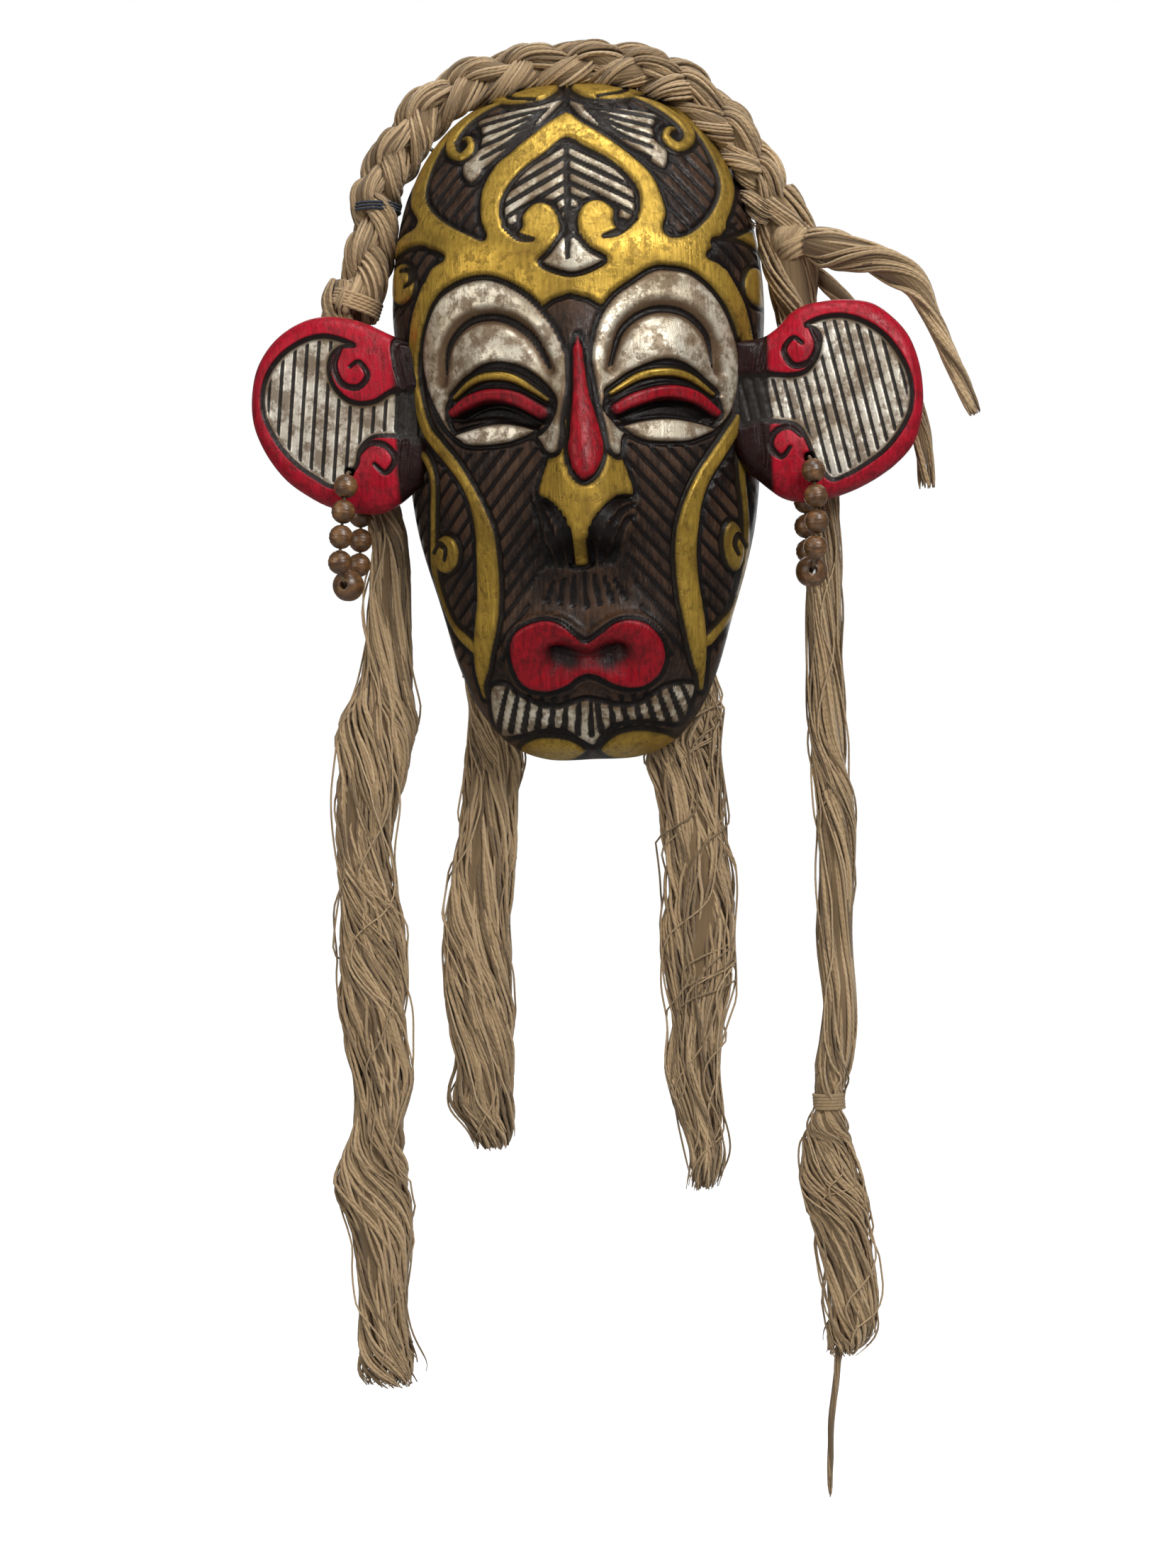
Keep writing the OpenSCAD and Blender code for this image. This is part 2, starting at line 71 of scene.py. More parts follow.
FLOOR_Z = -0.90
FLOOR_HALF = 8
floor_mesh = bpy.data.meshes.new("floor")
CORNER_WAYS = ((-1, -1), (1, -1), (1, 1), (-1, 1))
floor_corners = [(x * FLOOR_HALF, y * FLOOR_HALF, FLOOR_Z) for x, y in CORNER_WAYS]
floor_mesh.from_pydata(floor_corners, [], [(0, 1, 2, 3)])
floor = bpy.data.objects.new("floor", floor_mesh)
bpy.context.scene.collection.objects.link(floor)
pale = bpy.data.materials.new("pale_floor")
pale.use_nodes = True
ground = pale.node_tree.nodes["Principled BSDF"]
ground.inputs["Base Color"].default_value = (0.55, 0.55, 0.55, 1)
ground.inputs["Roughness"].default_value = 0.9
ground.inputs["Specular IOR Level"].default_value = 0.0
ground.inputs["Emission Color"].default_value = (1, 1, 1, 1)
ground_seen = pale.node_tree.nodes.new("ShaderNodeLightPath")
pale.node_tree.links.new(ground_seen.outputs["Is Camera Ray"], ground.inputs["Emission Strength"])
floor_mesh.materials.append(pale)

studio = bpy.data.worlds.new("studio")
bpy.context.scene.world = studio
studio.use_nodes = True
sky = studio.node_tree.nodes["Background"]
seen = studio.node_tree.nodes.new("ShaderNodeLightPath")
# Lamps and surfaces see a dim room; the camera sees plain white.
room = studio.node_tree.nodes.new("ShaderNodeMix")
room.data_type = "RGBA"
room.inputs[6].default_value = (0.15, 0.148, 0.145, 1)
room.inputs[7].default_value = (1, 1, 1, 1)
studio.node_tree.links.new(seen.outputs["Is Camera Ray"], room.inputs[0])
studio.node_tree.links.new(room.outputs[2], sky.inputs["Color"])
LAMPS_FACE = np.array([0, -0.03, -0.22])
for name, place, size, watts, tint in [
    ("key_lamp", (0.75, -1.15, 0.55), 0.6, 17, (1.0, 0.99, 0.97)),
    ("fill_lamp", (-0.9, -1.0, 0.1), 0.8, 5, (1.0, 0.95, 0.88)),
    ("top_lamp", (0.1, -0.35, 1.0), 0.5, 5, (1.0, 1.0, 1.0)),
    ("back_lamp", (0.0, 1.2, 0.2), 1.0, 6, (1.0, 1.0, 1.0)),
]:
    lamp = bpy.data.objects.new(name, bpy.data.lights.new(name, "AREA"))
    lamp.data.size = size
    lamp.data.energy = watts
    lamp.data.color = tint
    aim = LAMPS_FACE - np.array(place)
    aim = aim / np.linalg.norm(aim)
    side = np.cross(aim, level_up)
    side = side / np.linalg.norm(side)
    lamp.matrix_world = placed(side, np.cross(side, aim), -aim, place)
    bpy.context.scene.collection.objects.link(lamp)

# ---- hanging tresses ------------------------------------------------------------------------
# Loose bundles of two-ply jute yarn, tan to khaki, that hang beside and under the head.
# Each is a core of packed yarn with locks of single yarns lying over it, cut to a ragged end.
MM = 0.001


def line_through(points, count):
    """Points on a smooth line through the given ones. Each span is the cubic whose slope at a
    given point is half the step between its two neighbours."""
    p = np.asarray(points, float)
    n = len(p)
    u = np.linspace(0, n - 1, count)
    i = np.minimum(u.astype(int), n - 2)
    t = (u - i)[:, None]
    a = p[np.maximum(i - 1, 0)]
    b = p[i]
    c = p[i + 1]
    d = p[np.minimum(i + 2, n - 1)]
    return 0.5 * (
        2 * b + (c - a) * t + (2 * a - 5 * b + 4 * c - d) * t**2 + (3 * b - a - 3 * c + d) * t**3
    )


def stack_faces(rings, sides):
    """Four-cornered faces of a closed stack of rings: walls between neighbours, and at each end
    a ladder of faces across the ring."""
    spot = np.arange(rings * sides).reshape(rings, sides)
    nxt = np.roll(spot, -1, axis=1)
    walls = np.stack([spot[:-1], nxt[:-1], nxt[1:], spot[1:]], axis=-1).reshape(-1, 4)
    k = np.arange(sides // 2 - 1)
    ladder = np.stack([k, k + 1, sides - 2 - k, sides - 1 - k], axis=1)
    return np.concatenate([walls, spot[0][ladder[:, ::-1]], spot[-1][ladder]])


def tubes_round(lines, radii, sides, guide=(0, 1, 0)):
    """Closed tubes round many lines at once. A ring is radius times cosine and sine of the turn,
    along two directions square to the line, the first being the line crossed with the guide.
    Gives corners, faces, and each corner's turn and length along its line."""
    lines = np.asarray(lines, float)
    n, m, _ = lines.shape
    run = np.gradient(lines, axis=1)
    run /= np.linalg.norm(run, axis=2, keepdims=True) + 1e-12
    side = np.cross(run, np.asarray(guide, float))
    side /= np.linalg.norm(side, axis=2, keepdims=True) + 1e-12
    up = np.cross(run, side)
    turn = 2 * np.pi * np.arange(sides) / sides
    r = np.broadcast_to(np.asarray(radii, float), (n, m))[:, :, None, None]
    ring = np.cos(turn)[:, None] * side[:, :, None, :] + np.sin(turn)[:, None] * up[:, :, None, :]
    corners = (lines[:, :, None, :] + r * ring).reshape(-1, 3)
    step = np.linalg.norm(np.diff(lines, axis=1), axis=2)
    far = np.concatenate([np.zeros((n, 1)), np.cumsum(step, axis=1)], axis=1)
    faces = (stack_faces(m, sides)[None] + (np.arange(n) * m * sides)[:, None, None]).reshape(-1, 4)
    wind = np.tile(np.arange(sides) / sides, n * m)
    length = np.repeat(far.reshape(-1), sides)
    return corners, faces, wind, length


def make_piece(name, corners, faces, material, body="mask", marks=None):
    """A smooth mesh object from corners and four-cornered faces, with one number per corner for
    each name in marks, riding on the body."""
    mesh = bpy.data.meshes.new(name)
    mesh.vertices.add(len(corners))
    mesh.vertices.foreach_set("co", np.asarray(corners, np.float32).ravel())
    mesh.loops.add(faces.size)
    mesh.loops.foreach_set("vertex_index", np.asarray(faces, np.int32).ravel())
    mesh.polygons.add(len(faces))
    mesh.polygons.foreach_set("loop_start", np.arange(0, faces.size, 4, dtype=np.int32))
    mesh.update(calc_edges=True)
    mesh.validate()
    mesh.shade_smooth()
    for mark, values in (marks or {}).items():
        field = mesh.attributes.new(mark, "FLOAT", "POINT")
        field.data.foreach_set("value", np.asarray(values, np.float32))
    mesh.materials.append(material)
    piece = bpy.data.objects.new(name, mesh)
    bpy.context.scene.collection.objects.link(piece)
    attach(piece, body)
    return piece


def new_group(name, inputs, outputs):
    """An empty shader group with named number and colour sockets."""
    group = bpy.data.node_groups.new(name, "ShaderNodeTree")
    for title, kind, value in inputs:
        socket = group.interface.new_socket(title, in_out="INPUT", socket_type="NodeSocket" + kind)
        if value is not None:
            socket.default_value = value
    for title, kind in outputs:
        group.interface.new_socket(title, in_out="OUTPUT", socket_type="NodeSocket" + kind)
    return group, group.nodes.new("NodeGroupInput"), group.nodes.new("NodeGroupOutput")


def calc(tree, what, *values):
    """A Math node; each value is a number or a socket."""
    node = tree.nodes.new("ShaderNodeMath")
    node.operation = what
    for k, value in enumerate(values):
        if isinstance(value, (int, float)):
            node.inputs[k].default_value = value
        else:
            tree.links.new(value, node.inputs[k])
    return node.outputs[0]


def times(tree, *values):
    """The product of two numbers or sockets."""
    return calc(tree, "MULTIPLY", *values)


def plus(tree, *values):
    """The sum of two numbers or sockets."""
    return calc(tree, "ADD", *values)


def blend_colour(tree, share, first, second):
    """A colour mix; share, first and second are plain values or sockets."""
    node = tree.nodes.new("ShaderNodeMix")
    node.data_type = "RGBA"
    for k, value in ((0, share), (6, first), (7, second)):
        if hasattr(value, "links"):
            tree.links.new(value, node.inputs[k])
        else:
            node.inputs[k].default_value = value if k == 0 else (*value, 1)
    return node.outputs[2]


def ramp_of(tree, value, low, high):
    """Map Range: low becomes 0, high becomes 1, clamped and eased."""
    node = tree.nodes.new("ShaderNodeMapRange")
    node.interpolation_type = "SMOOTHSTEP"
    node.inputs["From Min"].default_value = low
    node.inputs["From Max"].default_value = high
    tree.links.new(value, node.inputs["Value"])
    return node.outputs["Result"]


def noise_of(tree, vector, scale, detail=3.0, rough=0.55):
    """Noise texture value on a vector socket."""
    node = tree.nodes.new("ShaderNodeTexNoise")
    node.inputs["Scale"].default_value = scale
    node.inputs["Detail"].default_value = detail
    node.inputs["Roughness"].default_value = rough
    tree.links.new(vector, node.inputs["Vector"])
    return node.outputs["Fac"]


def mark_of(tree, name):
    """The number that a mesh carries under this name."""
    node = tree.nodes.new("ShaderNodeAttribute")
    node.attribute_name = name
    return node.outputs["Fac"]


def new_finish(name, specular=0.5):
    """A new material with its node tree, its surface shader and the piece's own coordinates."""
    finish = bpy.data.materials.new(name)
    finish.use_nodes = True
    tree = finish.node_tree
    skin = tree.nodes["Principled BSDF"]
    skin.inputs["Specular IOR Level"].default_value = specular
    return finish, tree, skin, tree.nodes.new("ShaderNodeTexCoord").outputs["Object"]


def put_bump(tree, skin, height, strength, distance):
    """Fine relief from a height socket."""
    lift = tree.nodes.new("ShaderNodeBump")
    lift.inputs["Strength"].default_value = strength
    lift.inputs["Distance"].default_value = distance
    tree.links.new(height, lift.inputs["Height"])
    tree.links.new(lift.outputs["Normal"], skin.inputs["Normal"])


# Spun fibre: two plies wound round each other, and fine fibres that follow the twist.
fibre, fibre_in, fibre_out = new_group(
    "spun_fibre",
    [("Wind", "Float", 0.0), ("Length", "Float", 0.0), ("Twist per metre", "Float", 160.0)],
    [("Height", "Float"), ("Streak", "Float")],
)
FIBRES_ROUND = 3.0
FIBRES_ALONG = 60.0
twist = times(fibre, fibre_in.outputs["Length"], fibre_in.outputs["Twist per metre"])
lay_angle = plus(fibre, fibre_in.outputs["Wind"], twist)
ply = calc(fibre, "ABSOLUTE", calc(fibre, "SINE", times(fibre, lay_angle, 2 * math.pi)))
spot = fibre.nodes.new("ShaderNodeCombineXYZ")
fibre.links.new(times(fibre, lay_angle, FIBRES_ROUND), spot.inputs["X"])
fibre.links.new(times(fibre, fibre_in.outputs["Length"], FIBRES_ALONG), spot.inputs["Y"])
streak = noise_of(fibre, spot.outputs["Vector"], 4.0, 4.0, 0.65)
height = plus(fibre, times(fibre, ply, 0.6), times(fibre, streak, 0.6))
fibre.links.new(height, fibre_out.inputs["Height"])
fibre.links.new(streak, fibre_out.inputs["Streak"])


def fibre_material(name, pale_tone, mid_tone, deep_tone, twist, bump):
    """Dry yarn: colour runs from deep to pale by the yarn's own tint, its streaks and soft
    patches."""
    finish, tree, skin, place = new_finish(name, specular=0.25)
    skin.inputs["Roughness"].default_value = 0.85
    skin.inputs["Sheen Weight"].default_value = 0.25
    skin.inputs["Sheen Roughness"].default_value = 0.6
    spun = tree.nodes.new("ShaderNodeGroup")
    spun.node_tree = fibre
    spun.inputs["Twist per metre"].default_value = twist
    tree.links.new(mark_of(tree, "wind"), spun.inputs["Wind"])
    tree.links.new(mark_of(tree, "length"), spun.inputs["Length"])
    patch = noise_of(tree, place, 28.0, 2.0)
    tint = plus(tree, mark_of(tree, "tint"), times(tree, spun.outputs["Streak"], 0.5))
    tint = plus(tree, tint, times(tree, patch, 0.35))
    warm = blend_colour(tree, ramp_of(tree, tint, 0.35, 0.85), deep_tone, mid_tone)
    tone = blend_colour(tree, ramp_of(tree, tint, 0.8, 1.45), warm, pale_tone)
    tree.links.new(tone, skin.inputs["Base Color"])
    put_bump(tree, skin, spun.outputs["Height"], bump, 0.0005)
    return finish


jute = fibre_material("jute", (0.72, 0.53, 0.315), (0.47, 0.325, 0.175), (0.18, 0.115, 0.055), 160, 0.8)


def wander(rng, lines, length, waves):
    """Sum of slow sines with random phase for each line: a smooth drift between -1 and 1."""
    total = np.zeros((lines, len(length)))
    for k in range(1, waves + 1):
        phase = rng.uniform(0, 2 * np.pi, (lines, 1))
        speed = k * rng.uniform(0.7, 1.3, (lines, 1))
        total += np.sin(2 * np.pi * speed * length[None, :] + phase) / k
    return total / 1.6


def two_ways(points, frame_by):
    """At each point of a line, the two directions that a bundle's width and depth lie along:
    plain x and y, or, square to the line, the line crossed with frame_by and that crossed again."""
    if frame_by is None:
        return np.tile([1.0, 0, 0], (len(points), 1)), np.tile([0, 1.0, 0], (len(points), 1))
    run = np.gradient(points[:, :3], axis=0)
    run /= np.linalg.norm(run, axis=1, keepdims=True)
    across = np.cross(run, frame_by)
    across /= np.linalg.norm(across, axis=1, keepdims=True)
    return across, np.cross(across, run)


def along(at, table):
    """Rows of a table read at shares of its length, straight between neighbours."""
    t = np.linspace(0, 1, len(table))
    return np.stack([np.interp(at, t, column) for column in table.T], axis=-1)


# A lock's middle lies at 0.58 of the bundle's radius and its yarns within 0.40 of that middle.
# Lengths in mm: one sway of a lock, one swelling, one turn of a yarn round its lock's middle,
# one shiver of a yarn, and one swing of a stray yarn.
LOCK_REACH = 0.58
YARN_REACH = 0.40
SWAY_LONG = 160
PULSE_LONG = 100
YARN_TURN_LONG = 110
SHIVER_LONG = 50
STRAY_LONG = 120


def hair_bundle(rows, half_deep, locks, per_lock, seed, yarn_r, rings, ragged, turns, frame_by,
                limit, stray):
    """A bundle of yarns down a middle line. In the unit circle of the bundle each lock's middle
    goes round with cosine and sine of its turn, and its yarns go round that middle in the same
    way; the circle is stretched to the half width and half depth there. Yarns stop at random
    heights, and a few stray ones bow out past the circle."""
    rng = np.random.default_rng(seed)
    route = line_through(rows, rings)
    t = np.linspace(0, 1, rings)
    whole = np.linalg.norm(np.diff(route[:, :3], axis=0), axis=1).sum()
    count = locks * per_lock
    lock = np.repeat(np.arange(locks), per_lock)
    stop = 1 - ragged * rng.uniform(0, 1, count) ** 2
    at = t[None, :] * stop[:, None]
    sway = wander(rng, locks, t * whole / SWAY_LONG, 2)[lock]
    pulse = wander(rng, locks, t * whole / PULSE_LONG, 2)[lock]
    turn = 2 * np.pi * (lock / locks)[:, None] + 2 * np.pi * turns * at + 0.9 * sway
    mid_r = LOCK_REACH + 0.10 * pulse
    own = rng.uniform(0, 2 * np.pi, (count, 1)) + 2 * np.pi * at * whole / YARN_TURN_LONG
    own_r = YARN_REACH * np.sqrt(rng.uniform(0.3, 1.0, (count, 1)))
    shiver = 0.05 * wander(rng, count, t * whole / SHIVER_LONG, 3)
    a = mid_r * np.cos(turn) + own_r * np.cos(own) + shiver
    b = mid_r * np.sin(turn) + own_r * np.sin(own)
    size = np.maximum(np.hypot(a, b), 1e-6)
    loose = rng.uniform(0, 1, (count, 1)) < stray
    swing = np.clip(wander(rng, count, t * whole / STRAY_LONG, 2), 0, 1)
    splay = 0.2 * rng.uniform(0, 1, (count, 1)) * np.clip((at - 0.9) / 0.1, 0, 1)
    squeeze = np.where(loose, (1 + 0.3 * swing) / size, np.minimum(1, 1.0 / size)) * (1 + splay)
    a = a * squeeze
    b = b * squeeze
    base = along(at, route)
    half = np.maximum(base[..., 3] - yarn_r, 0.6)
    deep = np.minimum(half, half_deep - yarn_r)
    half = np.minimum(half, limit / np.maximum(np.abs(a), 0.01))
    across, other = two_ways(route, frame_by)
    lines = base[..., :3] + along(at, across) * (half * a)[..., None]
    lines = lines + along(at, other) * (deep * b)[..., None]
    taper = np.clip((1 - t) / 0.03, 0.35, 1)[None, :] * np.where(loose, 0.55, 1.0)
    corners, faces, wind, length = tubes_round(lines * MM, yarn_r * MM * taper, 4)
    tint = np.repeat(rng.uniform(0.0, 0.75, count), rings * 4)
    return corners, faces, wind, length, tint


CORE_SIDES = 16
CORE_SHARE = 0.64
# The core takes a low tint and so the deep tone: painted shade in the gaps between the yarns.
CORE_SHADE_TINT = 0.02


def core_of(rows, half_deep, stop, frame_by):
    """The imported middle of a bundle: an oval ring at each height, CORE_SHARE of the bundle's
    size, drawn in to a small ring at its end."""
    count = 3 * len(rows)
    t = np.linspace(0, 1, count)
    base = along(t * stop, line_through(rows, count))
    turn = 2 * np.pi * np.arange(CORE_SIDES) / CORE_SIDES
    fade = np.sqrt(np.clip((1.02 - t) / 0.12, 0.02, 1))
    half = base[:, 3] * CORE_SHARE * fade
    deep = np.minimum(base[:, 3], half_deep) * CORE_SHARE * fade
    across, other = two_ways(base, frame_by)
    ring = (
        base[:, None, :3]
        + across[:, None, :] * (half[:, None] * np.cos(turn))[..., None]
        + other[:, None, :] * (deep[:, None] * np.sin(turn))[..., None]
    )
    return ring.reshape(-1, 3) * MM, stack_faces(count, CORE_SIDES)[:, ::-1]


def put_bundle(name, rows, half_deep, locks, per_lock, seed, yarn_r=0.8, rings=90, ragged=0.1,
               turns=0.5, frame_by=None, limit=99.0, stray=0.0, stop=0.9):
    """One bundle piece: core and yarns in one mesh, with wind, length and tint marks."""
    corners, faces, wind, length, tint = hair_bundle(
        rows, half_deep, locks, per_lock, seed, yarn_r, rings, ragged, turns, frame_by, limit, stray
    )
    inner, inner_faces = core_of(rows, half_deep, stop, frame_by)
    none = np.zeros(len(inner))
    round_it = np.tile(np.arange(CORE_SIDES) / CORE_SIDES * 9, len(inner) // CORE_SIDES)
    return make_piece(
        name,
        np.concatenate([corners, inner]),
        np.concatenate([faces, inner_faces + len(corners)]),
        jute,
        marks={
            "wind": np.concatenate([wind, round_it]),
            "length": np.concatenate([length, none]),
            "tint": np.concatenate([tint, none + CORE_SHADE_TINT]),
        },
    )


def hang(hair, nodes):
    """The bundle stands for its CAD nodes."""
    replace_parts(hair, *nodes)


# Each tress's middle line from top to end, as rows of x, y, z and half width in mm.
LEFT_OUTER = [
    [-104, -14, -96, 8], [-104, -14, -115, 10], [-101, -14, -140, 10], [-95, -14, -163, 9],
    [-90, -14, -178, 9], [-89, -14, -192, 9.5], [-91, -14, -220, 10.5], [-93, -14, -250, 13],
    [-98, -14, -270, 19], [-101, -14, -290, 17], [-105, -14, -310, 15], [-106, -14, -330, 13.5],
    [-104, -14, -350, 14], [-104.5, -14, -370, 16.5], [-105, -14, -390, 17], [-105, -14, -410, 15],
    [-102, -14, -430, 14], [-104, -14, -450, 12.5], [-107, -14, -465, 16], [-109, -14, -480, 18.5],
    [-106, -14, -500, 15], [-106, -14, -520, 12], [-106, -14, -540, 12], [-105, -14, -558, 15],
    [-104, -14, -568, 12],
]
LEFT_INNER = [
    [-50, -11, -238, 7], [-49, -11, -250, 9], [-46, -11, -264, 11], [-46, -11, -278, 12.5],
    [-46, -11, -290, 14], [-48, -11, -305, 14], [-51, -11, -325, 15], [-54, -11, -345, 15],
    [-57, -11, -365, 16], [-57, -11, -385, 16], [-57, -11, -405, 16], [-56, -11, -425, 15],
    [-58, -11, -442, 16], [-54, -11, -455, 11], [-53, -11, -463, 8],
]
RIGHT_INNER = [
    [49, -11, -238, 7], [46, -11, -250, 9], [42.5, -11, -264, 14], [40, -11, -278, 16.5],
    [39, -11, -290, 18], [41, -11, -310, 17], [43, -11, -330, 16], [44, -11, -350, 17],
    [42, -11, -370, 17.5], [42, -11, -390, 16], [41, -11, -410, 12.5], [38, -11, -430, 13],
    [41, -11, -450, 11], [43, -11, -468, 9], [40, -11, -484, 7],
]
RIGHT_OUTER = [
    [94, -14, -76, 7], [98, -14, -100, 8], [102, -14, -130, 8], [105, -14, -165, 8],
    [106, -14, -195, 8], [105, -14, -220, 8], [105, -14, -250, 8], [104.5, -14, -280, 8.5],
    [106, -14, -300, 9], [107, -14, -320, 9], [106.5, -14, -340, 8.5], [104, -14, -370, 8],
    [105, -14, -400, 7.5], [102, -14, -428, 9], [99, -14, -440, 7], [98.5, -14, -448, 6],
    [97, -14, -458, 9.5], [97, -14, -465, 12], [98, -14, -480, 14.5], [100, -14, -491, 16],
    [102, -14, -503, 13], [104.5, -14, -520, 12.5], [105.5, -14, -540, 11.5],
    [103, -14, -552, 10], [99, -14, -560, 6],
]
for name, rows, deep, wide, locks, each, ragged, turns, nodes in [
    ("left_outer_hair", LEFT_OUTER, 7.4, 0.034, 9, 21, 0.10, 1.2, ["left_outer_tress"]),
    ("left_inner_hair", LEFT_INNER, 7.2, 0.030, 9, 21, 0.16, 0.5, ["left_inner_tress"]),
    ("right_inner_hair", RIGHT_INNER, 7.2, 0.032, 9, 22, 0.16, -0.5, ["right_inner_tress"]),
    ("right_outer_hair", RIGHT_OUTER, 6.6, 0.026, 7, 20, 0.07, 1.5,
     ["right_outer_tress", "right_outer_foot"]),
]:
    hair = put_bundle(
        name, rows, deep, locks, each, len(name) + 3, ragged=ragged, turns=turns,
        rings=110 if "outer" in name else 80, stop=0.95,
        limit=0.54 * wide / MM, stray=0.07,
    )
    hang(hair, nodes)

# The thin end of the right tress, and the two loose ends of the plait past its knot.
TAIL_FRONT = [
    [105, -27, -64, 8], [114, -33, -68, 10], [126, -39, -73, 9.5], [138, -43, -79, 8.5],
    [149, -46, -88, 7], [155, -46, -100, 5], [161, -46, -115, 4.5], [167, -46, -130, 4],
    [173, -46, -146, 3],
]
TAIL_BACK = [
    [107, -11, -74, 3.5], [119, -14, -88, 4.5], [134, -18, -108, 4.5], [146, -21, -128, 4.5],
    [151, -23, -150, 5], [153, -24, -175, 4],
]
END_YARN = [
    [101, -14, -540, 2.2], [98, -14, -562, 2.2], [96, -14, -575, 2.2], [93.5, -14, -590, 2],
    [93, -14, -606, 2],
    [92, -14, -624, 1.8],
]
for name, rows, wide, locks, each, yarn_r, ragged, node in [
    ("front_tail", TAIL_FRONT, 0.017, 6, 11, 0.75, 0.16, "tail_front"),
    ("back_tail", TAIL_BACK, 0.0105, 4, 9, 0.7, 0.16, "tail_back"),
    ("end_yarn", END_YARN, 0.0044, 3, 3, 0.6, 0.35, "right_end_yarn"),
]:
    hair = put_bundle(
        name, rows, 30, locks, each, len(name) + 11, yarn_r=yarn_r, ragged=ragged, turns=1.0,
        rings=50, frame_by=(0, 1, 0),
    )
    hang(hair, [node])

# ---- carved head ----------------------------------------------------------------------------
# One block of wood, hollowed from behind, carved in low relief with scrolls, ribbons and
# hatched fields, stained near black and painted in brassy gold, silver and lacquer red.
OUTLINE = [
    [0, 16], [20, 14.5], [39, 8], [54, -2], [66, -16], [76, -35], [82, -60], [84, -86], [82, -115],
    [80, -150], [77, -180], [72, -202], [64.5, -226], [57, -250], [48.5, -268], [36, -282],
    [20, -288.5], [0, -289],
]
MID_Z = -136
FACE_DEEP = 86
HOLLOW_DEEP = 72
RIM_WIDE = 10
# The dome's fullness: depth is a circle's height raised to this.
DOME = 0.42
HEAD_COLUMNS = 224
HEAD_ROWS = 384
# A distance in mm that stands for far outside.
FAR = 99.0


def eased(low, high, value):
    """0 below low, 1 above high, with level ends between."""
    t = np.clip((value - low) / (high - low), 0, 1)
    return t * t * (3 - 2 * t)


def hill(x, z, cx, cz, rx, rz):
    """A round hill: one at its middle, falling as the bell curve."""
    return np.exp(-(((x - cx) / rx) ** 2 + ((z - cz) / rz) ** 2))


def edge_distance(x, z, outline, close=True):
    """Distance in mm from each point to a smooth outline, positive inside it. A closed outline is
    rows of x and z, and inside is where a line leftwards crosses it an odd number of times. An
    open one is a ribbon of x, z and half width: the half width less the distance to its middle."""
    p = np.array(outline + outline[:1] if close else outline, float)
    if close:
        ring = np.concatenate([p[-2:-1], p, p[1:2]])
        line = line_through(ring, 5 * (len(ring) - 1) + 1)[5:-5]
    else:
        line = line_through(p, 6 * (len(p) - 1) + 1)
    field = np.full(x.shape, -FAR)
    reach = 9.0
    close_by = (
        (x > line[:, 0].min() - reach) & (x < line[:, 0].max() + reach)
        & (z > line[:, 1].min() - reach) & (z < line[:, 1].max() + reach)
    )
    px = x[close_by]
    pz = z[close_by]
    nearest = np.full(px.shape, FAR)
    odd = np.zeros(px.shape, bool)
    inside_by = np.full(px.shape, -50.0)
    for a, b in zip(line[:-1], line[1:]):
        d = b[:2] - a[:2]
        share = np.clip(((px - a[0]) * d[0] + (pz - a[1]) * d[1]) / (d @ d + 1e-9), 0, 1)
        gap = np.hypot(px - a[0] - share * d[0], pz - a[1] - share * d[1])
        if close:
            nearest = np.minimum(nearest, gap)
            crossed = (a[1] > pz) != (b[1] > pz)
            slope = (pz - a[1]) / (d[1] if abs(d[1]) > 1e-9 else 1e-9)
            odd ^= crossed & (px < a[0] + slope * d[0])
        else:
            inside_by = np.maximum(inside_by, a[2] + share * (b[2] - a[2]) - gap)
    field[close_by] = np.where(odd, nearest, -nearest) if close else inside_by
    return field


def cut_field(x, z, rows, fade=0.9):
    """One in the middle of any of the cut lines, falling to zero within a fade of its edge."""
    field = np.zeros(x.shape)
    for row in rows:
        field = np.maximum(field, np.clip(0.9 + edge_distance(x, z, row, close=False) / fade, 0, 1))
    return field


def oval(cx, cz, rx, rz, lean=0.0):
    """Eight points of an oval, leaning by so many degrees."""
    turn = np.radians(np.arange(0, 360, 45))
    c, s = math.cos(math.radians(lean)), math.sin(math.radians(lean))
    px = rx * np.cos(turn)
    pz = rz * np.sin(turn)
    return [[float(cx + c * a - s * b), float(cz + s * a + c * b)] for a, b in zip(px, pz)]


LIPS = [
    [-31.5, -243], [-30, -235.5], [-25, -231.5], [-17, -229.5], [-10, -231], [-4, -235.5],
    [1, -238.5], [8, -235], [14, -231.5], [20, -230.5], [27, -232.5], [32, -238], [34, -245],
    [32, -252], [27, -257], [20, -259], [12, -257.5], [6, -254.5], [1, -253], [-4, -254.5],
    [-8, -257], [-16, -259], [-24, -257.5], [-29, -253],
]
